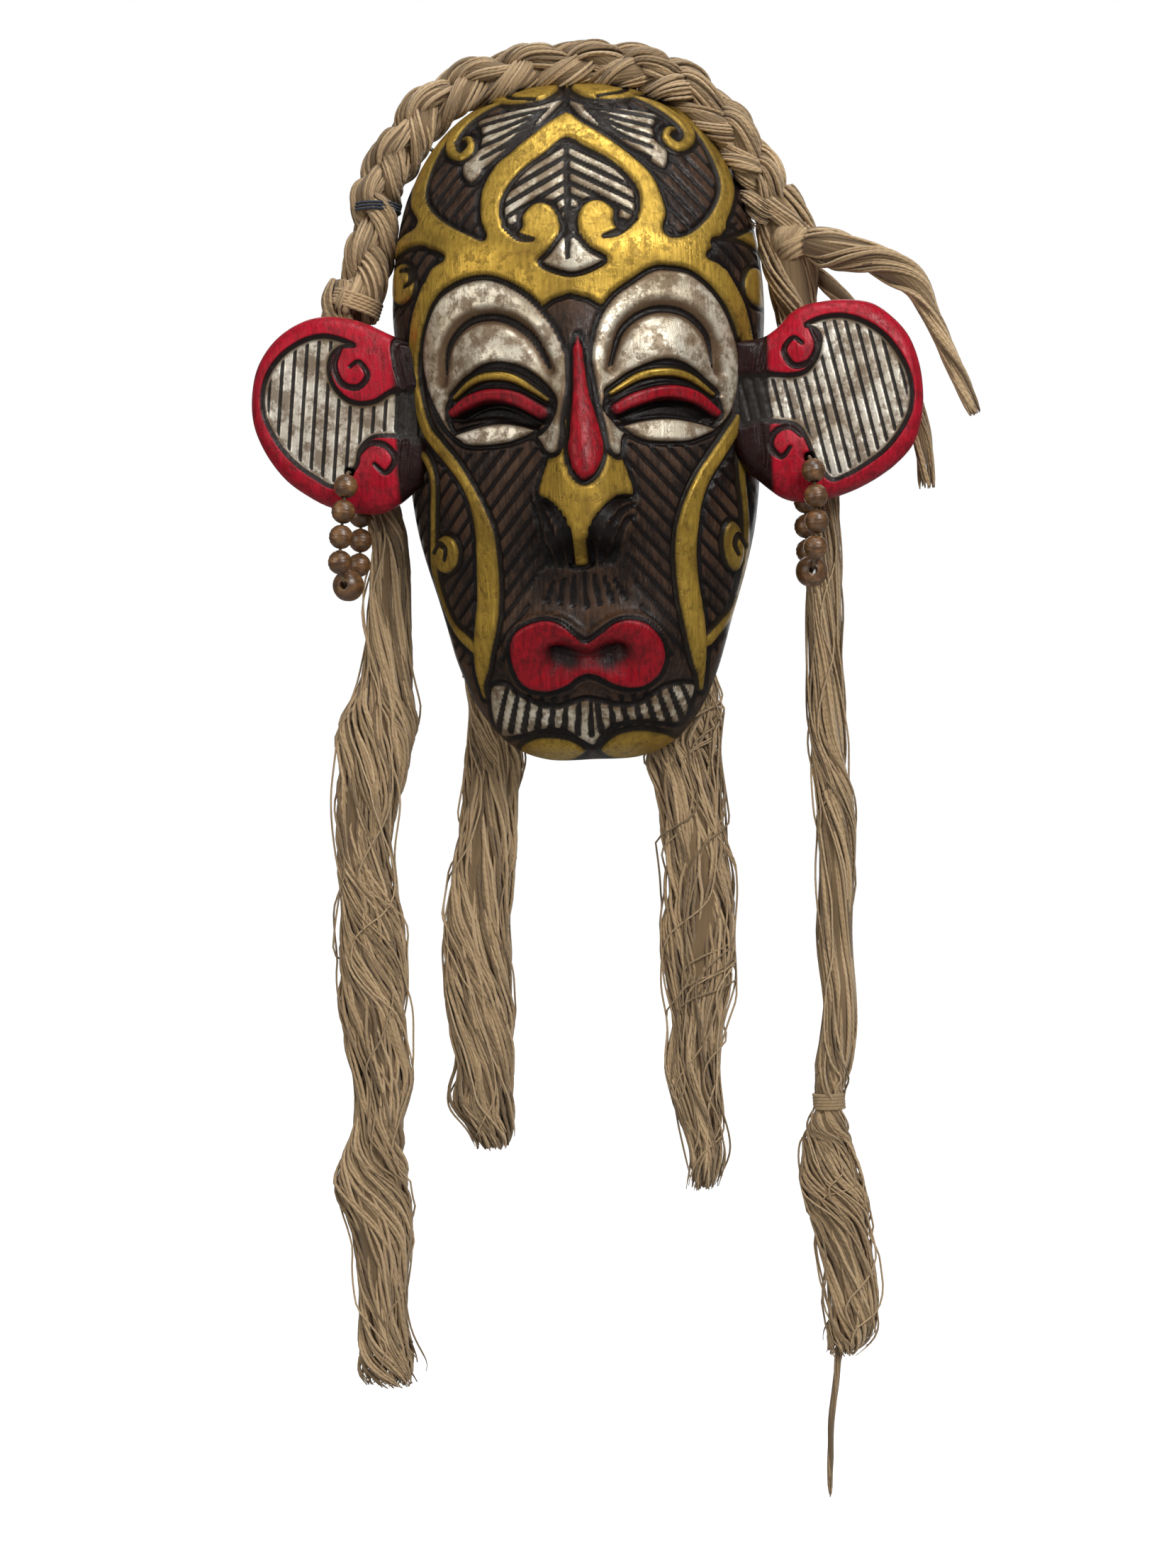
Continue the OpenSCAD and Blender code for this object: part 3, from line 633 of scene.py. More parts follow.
# What is painted over what, first to last: a colour, then an outline of [x, z] in mm, or a
# ribbon of [x, z, half width].
PAINT = [
    # The gold ground of the brow and temples, with two dark fields let into it.
    ("gold", [
        [-40, 12], [-53, 0], [-63, -13], [-70, -27], [-72, -41], [-68, -51], [-76, -53], [-86, -57],
        [-86, -63], [-72, -62], [-62, -66], [-66, -84], [-72, -100], [-60, -120], [-30, -110],
        [0, -96], [6, -96], [40, -110], [64, -120], [76, -100], [72, -84], [62, -68], [72, -65],
        [86, -66], [87, -58], [76, -56], [69, -60], [72, -50], [73.5, -40], [70.5, -26], [63.5, -13],
        [54, 0], [42, 11], [30, 17], [-30, 17],
    ]),
    ("dark", [
        [-26, 12], [-37, 5], [-46, -4], [-54, -14], [-60, -26], [-62.5, -38], [-59, -47], [-51, -55],
        [-42, -61], [-36, -64], [-38.5, -55], [-38.5, -45], [-36, -37], [-30, -28], [-20, -20],
        [-8, -10],
        [0, -4], [0, 4], [-4, 12],
    ]),
    ("dark", [
        [26, 12], [38, 5], [48, -4], [56, -14], [62, -26], [65.5, -38], [64, -48], [59, -57], [52, -64],
        [45, -66], [42, -63], [43.5, -56], [42, -48], [38, -38], [30, -29], [20, -20], [8, -9],
        [0, -4], [0, 4], [4, 12],
    ]),
    # Over the brow: two gold lobes, two silver feathers and two gold scrolls.
    ("gold", [[-36, 7], [-30, 14], [-18, 17], [-5, 15], [-3, 8], [-9, 2], [-20, 0], [-30, 2]]),
    ("gold", [[36, 8], [30, 14], [18, 17], [5, 15], [1, 9], [7, 2], [18, 0], [30, 2]]),
    ("silver", [
        [0, 2], [-13, -1], [-28, -3], [-40, -6], [-38, -14], [-40, -22], [-46, -27], [-46, -34],
        [-41, -38], [-33, -30], [-20, -19], [-8, -9],
    ]),
    ("silver", [
        [0, 2], [12, -3], [25, -4], [40, -7], [39, -14], [40, -21], [45, -27], [42, -36],
        [30, -27], [15, -16], [5, -8],
    ]),
    ("gold", [
        [-28, 4, 1.2], [-38, 1, 2.6], [-46, -4, 3.4], [-51, -11, 3.6], [-51.5, -19, 3.4],
        [-47, -23.5, 3], [-42.5, -20.5, 3], [-43, -15, 2.6], [-46, -14, 1.6],
    ]),
    ("gold", [
        [28, 4, 1.2], [38, 0, 2.6], [46, -5, 3.2], [52.5, -12, 3.6], [53.5, -19, 3.6],
        [49, -23.5, 3.4], [44, -20, 3], [44.5, -15, 2.6], [47.5, -14, 1.6],
    ]),
    # The silver leaf in the middle of the brow.
    ("silver", [
        [0, -20], [-8, -26.5], [-18, -34], [-25, -42], [-28, -50], [-27, -57], [-23, -62], [-20, -60],
        [-20, -55], [-14, -49], [-7, -50], [-3, -56], [-2, -64], [-8, -73], [-12, -77], [-6, -81],
        [2, -83], [10, -81], [16, -77], [9, -72], [4, -64], [4, -56], [8, -50], [15, -49],
        [21, -54], [21, -60], [24, -63], [29, -58], [30.5, -50], [28, -42], [19, -32], [8, -25],
    ]),
    # The dark sides of the head, each with a gold drop.
    ("dark", [
        [-84, -62], [-73, -62.5], [-63, -65], [-55, -70], [-61, -73], [-67, -83], [-71, -93],
        [-76, -118], [-72, -140], [-66, -152], [-58, -162], [-52, -172], [-49, -182], [-48, -192],
        [-48, -215], [-52, -238], [-60, -262], [-100, -262], [-100, -62],
    ]),
    ("dark", [
        [86, -66], [74, -66], [65, -69], [60, -74], [66, -77], [72, -86], [75.5, -96], [80, -118],
        [75.5, -140], [72, -150], [65, -160], [59, -170], [54.5, -180], [52, -190], [51.5, -215],
        [55, -240], [60, -262], [100, -262], [100, -66],
    ]),
    ("dark", [[80, -32], [80, -54], [66, -66], [75, -52], [77, -42]]),
    ("gold", oval(-76, -76, 7.5, 10.5, 10)),
    ("gold", oval(81, -83, 6.5, 10, -10)),
    # Gold ribbons down the cheeks, and the dark middle of the face between them.
    ("gold", [
        [-61, -83, 6], [-68.5, -96, 4.2], [-71.8, -118, 3.4], [-67.5, -140, 3.2], [-61.5, -150, 3.4],
        [-54, -160, 3.4], [-48, -170, 3.2], [-44, -180, 4], [-41.5, -190, 5.2], [-41, -200, 5.8],
        [-41, -210, 6.2], [-41.5, -220, 6.3], [-43, -230, 6.2], [-45, -240, 5.4],
        [-46, -250, 4], [-45.8, -260, 2],
    ]),
    ("gold", [
        [64, -83, 6], [72.5, -96, 4.2], [76.2, -118, 3.4], [72, -140, 3.1], [67, -150, 3.5],
        [60.5, -160, 3.8], [54, -170, 4], [49.5, -180, 4.6], [46.8, -190, 5.4], [45.3, -200, 5.6],
        [45.3, -210, 5.7], [46, -220, 5.8], [47.5, -230, 5.6], [48.5, -240, 5], [49, -250, 3.6],
        [49, -260, 2],
    ]),
    ("dark", [
        [-60, -128], [-52, -152], [-40, -172], [-34, -190], [-34, -225], [-40, -245], [-44, -262],
        [-20, -290], [20, -290], [46, -262], [43, -245], [38, -225], [38, -190], [44, -172],
        [56, -152], [66, -128], [40, -118], [0, -92], [-35, -118],
    ]),
    # Thin gold ribbons along the jaw, and their round curls.
    ("gold", [
        [-79, -140, 1.6], [-74, -147, 2.4], [-67.5, -155, 2.5], [-64.5, -165, 2.3],
        [-65.5, -180, 2.2], [-66.5, -190, 2.2], [-67.5, -200, 2.4], [-66.5, -210, 2.2],
        [-63.5, -219, 2], [-59, -228, 2.2], [-54, -234, 3], [-48, -240, 3],
    ]),
    ("gold", [
        [80, -143, 1.6], [75, -150, 2.4], [71.5, -158, 2.5], [71, -168, 2.3], [71.8, -180, 2.2],
        [72, -190, 2.2], [71.5, -202, 2.4], [68.5, -214, 2], [64.5, -225, 2], [60, -232, 2.5],
        [53, -240, 3],
    ]),
    ("gold", oval(-60.5, -197, 7.5, 9, 0)),
    ("gold", oval(66, -198, 5.5, 11.5, 0)),
    # The gold tip of the nose.
    ("gold", [
        [-8, -150], [-12, -161], [-17, -176], [-10.5, -181], [-6, -188], [-3.8, -195], [-3.6, -206.5],
        [4.6, -206.5], [5.2, -199], [7, -192.5], [11, -185.5], [17, -180], [25, -178], [21, -162],
        [15, -150], [4, -140],
    ]),
    # Silver round both eyes, and the red stripe down the nose.
    ("silver", [
        [-38, -81], [-48, -82], [-58, -87], [-64, -97], [-67, -108], [-67, -118], [-64, -130],
        [-58, -143], [-52, -150], [-45, -153.5], [-30, -154], [-18, -152], [-12, -160], [-6, -159],
        [-4, -145], [-2, -135], [-1, -125], [-2, -116], [-6, -106], [-12, -97], [-20, -89], [-30, -83],
    ]),
    ("silver", [
        [44, -80.5], [52, -82], [60, -88], [66, -96], [70, -106], [72, -116], [71.5, -128],
        [69, -138], [66, -144], [60, -150], [50, -155], [40, -156], [30, -155.5], [22, -153],
        [20, -162], [15, -160], [13, -150], [11, -140], [9.5, -130], [8, -120], [9, -112],
        [12, -102], [18, -93], [26, -87], [36, -81],
    ]),
    ("red", [
        [3, -108], [0.2, -115], [-0.5, -125], [-0.7, -135], [-2, -150], [-3, -160], [-1, -169],
        [4, -174], [10, -170], [13.5, -160], [12, -150], [8.2, -135], [6.8, -122], [5.5, -113],
    ]),
    # Each eye: its dark opening, its white, the gold stripe and the red lid.
    ("dark", [
        [-56, -136], [-48, -126], [-35, -119.5], [-20, -123], [-8, -136], [-10, -146], [-18, -151],
        [-35, -145.5], [-50, -149],
    ]),
    ("dark", [
        [14, -139], [22, -128], [39, -121], [52, -125], [62, -137], [60, -147], [50, -150],
        [40, -146.5], [24, -151], [17, -146],
    ]),
    ("silver", [
        [-54, -147], [-44, -144.5], [-34, -143.5], [-24, -145], [-16, -149], [-25, -153],
        [-38, -153.5], [-48, -152],
    ]),
    ("silver", [
        [20, -149], [28, -145.5], [40, -144], [52, -145.5], [61, -149], [52, -154], [40, -155],
        [28, -154],
    ]),
    ("gold", [
        [-52, -131, 2.0], [-44, -125.8, 2.6], [-35, -124, 2.8], [-24, -126.5, 2.7],
        [-11, -136.5, 2.0],
    ]),
    ("gold", [
        [16.5, -134.5, 2.0], [28, -127.5, 2.7], [40, -125.4, 2.8], [50, -127.4, 2.6],
        [59.5, -133.8, 2.0],
    ]),
    ("red", [
        [-52.5, -137.5, 3.0], [-45, -133.8, 3.9], [-35, -132.4, 4.2], [-24, -135, 4.2],
        [-13, -142, 3.8],
    ]),
    ("red", [
        [18.5, -141.5, 3.5], [27, -137, 4.0], [40, -134, 4.2], [51, -135.6, 4.0],
        [60, -141.8, 3.0],
    ]),
    # The lips.
    ("red", LIPS),
    # The silver beard, and the two gold lobes of the chin.
    ("silver", [
        [-43, -256], [-36, -255], [-30, -259.5], [-20, -265], [-12, -266], [-2, -263], [5, -264],
        [12, -266], [22, -266], [30, -261], [37, -258], [47, -258], [45, -266], [40, -275],
        [30, -275], [25, -274], [12, -275], [5, -280], [1, -284], [-5, -281], [-12, -276.5],
        [-22, -276.5], [-30, -278], [-41, -278], [-44, -268],
    ]),
    ("gold", [
        [-33, -283], [-26, -279], [-17, -278.5], [-8, -280.5], [-2, -286], [-14, -291],
        [-30, -290],
    ]),
    ("gold", [[37, -281], [28, -277.5], [18, -277], [9, -279.5], [3, -286], [14, -291], [34, -289]]),
]

# Cut lines, each a row of [x, z, half width].
CUTS = [
    [[0.5, -22, 0.3], [0.5, -50, 0.7], [0.5, -76, 0.4]],
    [
        [-56, -120, 0.2], [-54, -108, 0.8], [-44, -99, 1.1], [-30, -99, 1.1], [-17, -108, 0.9],
        [-10, -122, 0.3],
    ],
    [
        [17, -122, 0.3], [22, -107, 0.9], [34, -98.5, 1.1], [48, -99, 1.1], [58, -108, 0.8],
        [60, -122, 0.2],
    ],
    [[-27, -59, 0.8], [-21, -65, 1.3], [-15, -67, 0.7]],
    [[29, -59, 0.8], [22, -65, 1.3], [16, -67, 0.7]],
    [[-20, 10, 0.5], [-26, 8, 0.9], [-24, 4.5, 0.7], [-14, 2.5, 0.4]],
    [[20, 10, 0.5], [26, 8.5, 0.9], [24, 5, 0.7], [14, 2.5, 0.4]],
    [[-49, -15, 0.6], [-47, -18.5, 0.8], [-44.5, -18, 0.6]],
    [[50, -15, 0.6], [48.5, -18.5, 0.8], [46, -18, 0.6]],
    [[-76, -70, 0.4], [-71, -72, 0.8], [-71, -77, 0.8], [-74, -78, 0.4]],
    [[-66, -195, 0.6], [-63, -192, 0.8], [-60, -195, 0.7], [-61, -199, 0.5]],
    [[71, -197, 0.6], [68, -193, 0.8], [66, -197, 0.7], [67.5, -201, 0.5]],
]
for k in range(5):
    CUTS.append([[-8 - k, -4 - 1.2 * k, 0.2], [-24, -7 - 4.2 * k, 0.7], [-40 + k, -10 - 5.5 * k, 0.5]])
    CUTS.append([[8 + k, -4 - 1.2 * k, 0.2], [24, -7 - 4 * k, 0.7], [40 - k, -10 - 5 * k, 0.5]])
for k in range(8):
    CUTS.append([[1.5 - 5.2 * k, -264 + 0.9 * k, 0.3], [0.5 - 5.9 * k, -278 + 0.5 * k, 1.0]])
    CUTS.append([[4 + 5.2 * k, -264 + 0.9 * k, 0.3], [5 + 5.9 * k, -277 + 0.5 * k, 1.0]])
# Veins of the leaf on the brow, cut only as far as the leaf goes.
VEINS = []
for k in range(8):
    VEINS.append([[0, -23 - 6 * k, 0.6], [-14, -31 - 6 * k, 0.7], [-30, -40 - 6 * k, 0.5]])
    VEINS.append([[1, -23 - 6 * k, 0.6], [15, -31 - 6 * k, 0.7], [31, -40 - 6 * k, 0.5]])
# Deep cuts round the wings of the nose.
WINGS = [
    [[-17, -177.5, 0.6], [-10.5, -181.8, 1.2], [-6, -188.5, 1.4], [-4.2, -196, 1.4], [-4, -206, 1]],
    [[-17.5, -179.5, 0.4], [-13, -185, 0.9], [-10.2, -191, 1.1], [-8.4, -198, 1.1], [-8, -206, 1]],
    [[-19.5, -180, 0.3], [-16.5, -187, 0.8], [-13.8, -195, 1], [-12.5, -205, 1.4]],
    [
        [25, -179, 0.6], [17.5, -180.8, 1.2], [11.5, -186, 1.4], [7.6, -193, 1.4],
        [5.4, -200, 1.3], [5, -206, 1],
    ],
    [[24.5, -182, 0.4], [17, -186, 0.9], [12.4, -192.5, 1.1], [9.9, -199, 1.1], [9.2, -206, 1]],
    [[24.5, -187, 0.3], [19.5, -189, 0.8], [15.5, -195, 1], [13.4, -205, 1.4]],
]
for k in range(7):
    CUTS.append([[-12 + 4.4 * k, -210 - abs(k - 3), 0.3], [-15 + 5.6 * k, -224 + abs(k - 3), 0.8]])

rim_half = line_through(OUTLINE, 400)
rim_angle = np.arctan2(rim_half[:, 0], rim_half[:, 1] - MID_Z)
rim_reach = np.hypot(rim_half[:, 0], rim_half[:, 1] - MID_Z)


def reach_at(angle):
    """Distance from the middle of the head to its outline, by the angle from the upward line."""
    return np.interp(np.abs(angle), rim_angle, rim_reach)


def head_lift(z):
    """How far the rim is cut back from the wall behind the jaw."""
    return 22 * eased(205, 245, -z)


# Broad hills and hollows of the face: height, then middle x and z, then reach across and down.
# They lie the same at both sides of the nose's line.
BROW = (4, 0, -70, 60, 14)
SOCKET = (-8, 38, -112, 25, 32)
EYEBALL = (7, 38, -116, 18, 18)
LIP = (12, 17, -243, 17, 14)
CHIN = (4, 20, -272, 26, 10)
FACE_LINE = 1.5
NOSE_HIGH = 20


def raised(x, z, *hills):
    """Sum of hills, each its height times a round hill."""
    return sum(high * hill(x, z, *where) for high, *where in hills)


def big_relief(x, z):
    """The nose, a ridge that rises and widens downwards and stops at its tip, and the broad
    hills of the face."""
    rise = eased(90, 180, -z) * (1 - eased(192, 206, -z))
    nose = NOSE_HIGH * rise * np.exp(-(((x - 4 * rise) / (9 + 7 * rise)) ** 2))
    return nose + raised(np.abs(x - FACE_LINE), z, BROW, SOCKET, EYEBALL, LIP, CHIN)


def grid_line(count):
    """Steps from -1 to 1, even in the middle and closer towards the ends."""
    t = np.linspace(-1, 1, count + 1)
    return 1.13 * t - 0.13 * t**7


def round_grid(columns, rows):
    """A square grid pressed into a disc, each side line bent to the circle: every point's share
    of the radius, and its angle from the upward line."""
    u, v = np.meshgrid(grid_line(columns), grid_line(rows))
    x = u * np.sqrt(1 - v**2 / 2)
    z = v * np.sqrt(1 - u**2 / 2)
    return np.minimum(np.hypot(x, z), 1.0), np.arctan2(x, z)


spread, heading = round_grid(HEAD_COLUMNS, HEAD_ROWS)
head_x = spread * reach_at(heading) * np.sin(heading)
head_z = MID_Z + spread * reach_at(heading) * np.cos(heading)
lift_here = head_lift(head_z)
head_y = -(
    lift_here + (FACE_DEEP - lift_here) * np.maximum(0, 1 - spread**2) ** DOME
    + big_relief(head_x, head_z) * np.sqrt(np.maximum(0, 1 - spread**2))
)

# How far each point lies inside each colour: a later shape takes away from the other colours.
depth_of = {paint: np.full(head_x.shape, -FAR) for paint in ("gold", "silver", "red")}
for colour, shape in PAINT:
    gap = edge_distance(head_x, head_z, shape, close=len(shape[0]) == 2)
    for paint in depth_of:
        if paint == colour:
            depth_of[paint] = np.maximum(depth_of[paint], gap)
        else:
            depth_of[paint] = np.minimum(depth_of[paint], -gap)
painted = np.maximum.reduce(list(depth_of.values()))
line_gap = np.minimum.reduce([np.abs(d) for d in depth_of.values()])
groove = np.clip(1.3 - line_gap / 1.15, 0, 1)
groove = np.maximum(groove, cut_field(head_x, head_z, CUTS))


def hatch(x, z, degrees, step, wide):
    """Parallel cuts: one in the middle of a cut, zero beyond its half width."""
    across = x * math.cos(math.radians(degrees)) + z * math.sin(math.radians(degrees))
    off = np.abs((across / step) % 1 - 0.5) * step
    return np.clip(1 - off / wide, 0, 1)


leaf = eased(0.2, 1.2, depth_of["silver"]) * (head_z > -84) * (head_z < -18)
groove = np.maximum(groove, cut_field(head_x, head_z, VEINS) * leaf)
wings = cut_field(head_x, head_z, WINGS, 1.0)
# The furrow that rings each lid, and the dark slit of each eye, as ribbons.
LEFT_RING = [
    [-57, -124, 0.5], [-54, -108, 1.6], [-44, -99, 2], [-30, -99, 2], [-17, -108, 1.8],
    [-9, -124, 0.5],
]
RIGHT_RING = [
    [16, -124, 0.5], [22, -107, 1.8], [34, -98.5, 2], [48, -99, 2], [58, -108, 1.6],
    [62, -124, 0.5],
]
LEFT_SLIT = [[-50, -141, 1], [-34, -138.5, 3.4], [-16, -146, 1]]
RIGHT_SLIT = [[22, -145, 1], [40, -140.5, 3.4], [56, -145, 1]]


def either(left, right):
    """Distance inside whichever of two ribbons is nearer."""
    return np.maximum(
        edge_distance(head_x, head_z, left, False), edge_distance(head_x, head_z, right, False)
    )


lid_ring = either(LEFT_RING, RIGHT_RING)
slit = either(LEFT_SLIT, RIGHT_SLIT)
HATCH_STEP = 5.6
HATCH_HALF = 1.4
hatched = np.where(
    head_x > 2, hatch(head_x, head_z, 42, HATCH_STEP, HATCH_HALF),
    hatch(head_x, head_z, 138, HATCH_STEP, HATCH_HALF),
)
# Hatching stays off the paint, the rim, the mouth's surround, the nose and the lids.
plain_field = (head_z < -208) & (np.abs(head_x - 1) < 20 + 0.25 * (-208 - head_z))
hatched = hatched * eased(0.6, 1.6, -painted) * (spread < 0.98) * (head_z > -246) * ~plain_field
between_eyes = (np.abs(head_x - 3.5) < 13) & (head_z > -206) & (head_z < -88)
lids = (head_z > -156) & (head_z < -90)
nose_side = (
    (head_z > -210) & (head_z < -174) & (np.abs(head_x - 3.2) < 22.5 + 0.24 * (head_z + 176))
)
hatched = hatched * ~(between_eyes | lids | nose_side)
mouth = edge_distance(head_x, head_z, LIPS)
red_lid = (head_z > -150) * (np.abs(head_x - 3.5) > 12)
red_nose = (np.abs(head_x - 4) < 11) * (head_z > -180)
# Small hills, as for the broad ones but with each side's own.
EYES = ((2, -33, -116, 15, 14), (2, 39, -116, 15, 14))
MOUTH_PITS = ((-9, -11, -245, 9, 7), (-9, 13, -245, 9, 7))
NOSE_WINGS = ((4, -11, -193, 6, 13), (4, 14.5, -193, 7, 13))
# The knife work: paint stands a little proud, cuts are sunk, and lids, lips and the wings of the
# nose are rounded.
fine = (
    0.9 * eased(0.5, 2.2, painted) - 1.6 * groove - 1.6 * hatched - 1.8 * wings
    - 2.2 * eased(-4, 1, lid_ring) - 4.5 * eased(-2, 1.5, slit)
    + 1.6 * eased(0, 2.5, depth_of["red"]) * red_lid
    + 1.4 * eased(0, 3.5, depth_of["red"]) * red_nose
    + 3.0 * eased(-5, -0.5, mouth) * (1 - eased(1.5, 8, mouth))
    + raised(head_x, head_z, *EYES, *MOUTH_PITS, *NOSE_WINGS)
)
fine = fine * (1 - eased(0.955, 1.0, spread))
# Painted shade: near black in the eye slits and darker in the two pits of the mouth, laid into the cut
# mark.
MOUTH_PIT_SHADE = ((1.8, -10, -245.5, 10, 6), (1.8, 13, -245.5, 10, 6))
black = 0.9 * eased(-1.5, 1, slit) * (depth_of["red"] < -0.3)
black = black + 0.34 * np.minimum(1, raised(head_x, head_z, *MOUTH_PIT_SHADE))
# Dirt gathers beside cuts. Painted shade darkens round the lids, in the mouth and under the slits, and
# the face is darker towards the rim.
shade = np.maximum.reduce([
    0.75 * (1 - eased(0.5, 5, line_gap)), 0.95 * eased(-5, 0.5, lid_ring),
    raised(head_x, head_z, (1.5, -9, -246, 9, 6)), raised(head_x, head_z, (1.5, 12, -246, 9, 6)),
    0.5 * eased(0.90, 0.99, spread), 0.9 * eased(-4, 0, slit),
])
place = np.stack([head_x, head_y, head_z], axis=-1)
outward = np.cross(np.gradient(place, axis=1), np.gradient(place, axis=0))
outward /= np.linalg.norm(outward, axis=2, keepdims=True) + 1e-12
outward *= np.where(outward[..., 1:2] > 0, -1, 1)
place = place + fine[..., None] * outward


def grid_edge(shape):
    """The corner numbers once round the edge of a grid."""
    spot = np.arange(shape[0] * shape[1]).reshape(shape[:2])
    return np.concatenate([spot[0, :-1], spot[:-1, -1], spot[-1, :0:-1], spot[:0:-1, 0]])


def closed_behind(front, rings):
    """Corners and faces of a front grid that rings close from behind, from its edge inwards, the
    last one filled by a ladder of faces across it."""
    spot = np.arange(front.shape[0] * front.shape[1]).reshape(front.shape[:2])
    quads = np.stack([spot[:-1, :-1], spot[:-1, 1:], spot[1:, 1:], spot[1:, :-1]], axis=-1)
    edge = grid_edge(front.shape)
    around = len(edge)
    ids = [edge] + [spot.size + k * around + np.arange(around) for k in range(len(rings))]
    back = [
        np.stack([a, np.roll(a, -1), np.roll(b, -1), b], axis=-1) for a, b in zip(ids[:-1], ids[1:])
    ]
    k = np.arange(around // 2 - 1)
    end = ids[-1]
    back.append(np.stack([end[k], end[k + 1], end[around - 2 - k], end[around - 1 - k]], axis=-1))
    corners = np.concatenate([front.reshape(-1, 3)] + rings) * MM
    return corners, np.concatenate([quads.reshape(-1, 4)] + [f[:, ::-1] for f in back])


def with_back(values, corners, rest):
    """The front's numbers, then the same number for every corner behind."""
    values = np.asarray(values, float).ravel()
    return np.concatenate([values, np.full(len(corners) - len(values), float(rest))])


edge_angle = heading.ravel()[grid_edge(head_x.shape)]
PLATE_HALF = 8.3
PLATE_SUNK = 2.1
rings = []
for inward in (2.8, 3.0, RIM_WIDE):
    reach = reach_at(edge_angle) - inward
    rx = reach * np.sin(edge_angle)
    rz = MID_Z + reach * np.cos(edge_angle)
    # The rim is let in at the top, where the hanger plate sits.
    seat = (np.abs(rx) < PLATE_HALF) & (rz > 0) & (inward > 2.9)
    rings.append(np.stack([rx, -head_lift(rz) - np.where(seat, PLATE_SUNK, 0), rz], axis=-1))
for share in (0.985, 0.94, 0.86, 0.74, 0.58, 0.38, 0.16):
    reach = (reach_at(edge_angle) - RIM_WIDE) * share
    rx = reach * np.sin(edge_angle)
    rz = MID_Z + reach * np.cos(edge_angle)
    back = head_lift(rz)
    ry = -(back + (HOLLOW_DEEP - back) * (1 - share * share) ** DOME)
    rings.append(np.stack([rx, ry, rz], axis=-1))
corners, faces = closed_behind(place, rings)


# Worn paint: patches rubbed through, fine scratches that run down, and soft dirt.
worn, worn_in, worn_out = new_group(
    "worn_paint",
    [("Place", "Vector", None), ("Patch scale", "Float", 60.0), ("Amount", "Float", 0.5)],
    [("Wear", "Float"), ("Brushed", "Float"), ("Dirt", "Float")],
)
SCRATCHES = (700, 700, 60)
SCRATCH_LEAN = 0.25
DIRT_SCALE = 38.0


def stretched(tree, place, scale, turn=(0, 0, 0)):
    """Coordinates turned and drawn out, so that a pattern on them runs like grain."""
    node = tree.nodes.new("ShaderNodeMapping")
    node.inputs["Scale"].default_value = scale
    node.inputs["Rotation"].default_value = turn
    tree.links.new(place, node.inputs["Vector"])
    return node.outputs["Vector"]


worn_place = worn_in.outputs["Place"]
enlarged = worn.nodes.new("ShaderNodeVectorMath")
enlarged.operation = "SCALE"
worn.links.new(worn_place, enlarged.inputs[0])
worn.links.new(worn_in.outputs["Patch scale"], enlarged.inputs["Scale"])
patchy = noise_of(worn, enlarged.outputs[0], 1.0, 6.0, 0.72)
patchy = plus(worn, patchy, times(worn, worn_in.outputs["Amount"], 0.3))
worn.links.new(ramp_of(worn, patchy, 0.55, 0.70), worn_out.inputs["Wear"])
scratched = stretched(worn, worn_place, SCRATCHES, (0, SCRATCH_LEAN, 0))
worn.links.new(noise_of(worn, scratched, 1.0, 3.0, 0.6), worn_out.inputs["Brushed"])
worn.links.new(noise_of(worn, worn_place, DIRT_SCALE, 3.0, 0.6), worn_out.inputs["Dirt"])


def wear_on(tree, place, scale, amount=0.5):
    """The worn paint group, with patches of this scale."""
    node = tree.nodes.new("ShaderNodeGroup")
    node.node_tree = worn
    node.inputs["Patch scale"].default_value = scale
    node.inputs["Amount"].default_value = amount
    tree.links.new(place, node.inputs["Place"])
    return node.outputs


# Near black for the cuts, and for the painted shade of the eye slits, the mouth's pits and the ear
# holes.
CUT_AND_SHADE_BLACK = (0.006, 0.004, 0.004)
GOLD_METAL = 0.65
SILVER_METAL = 0.45


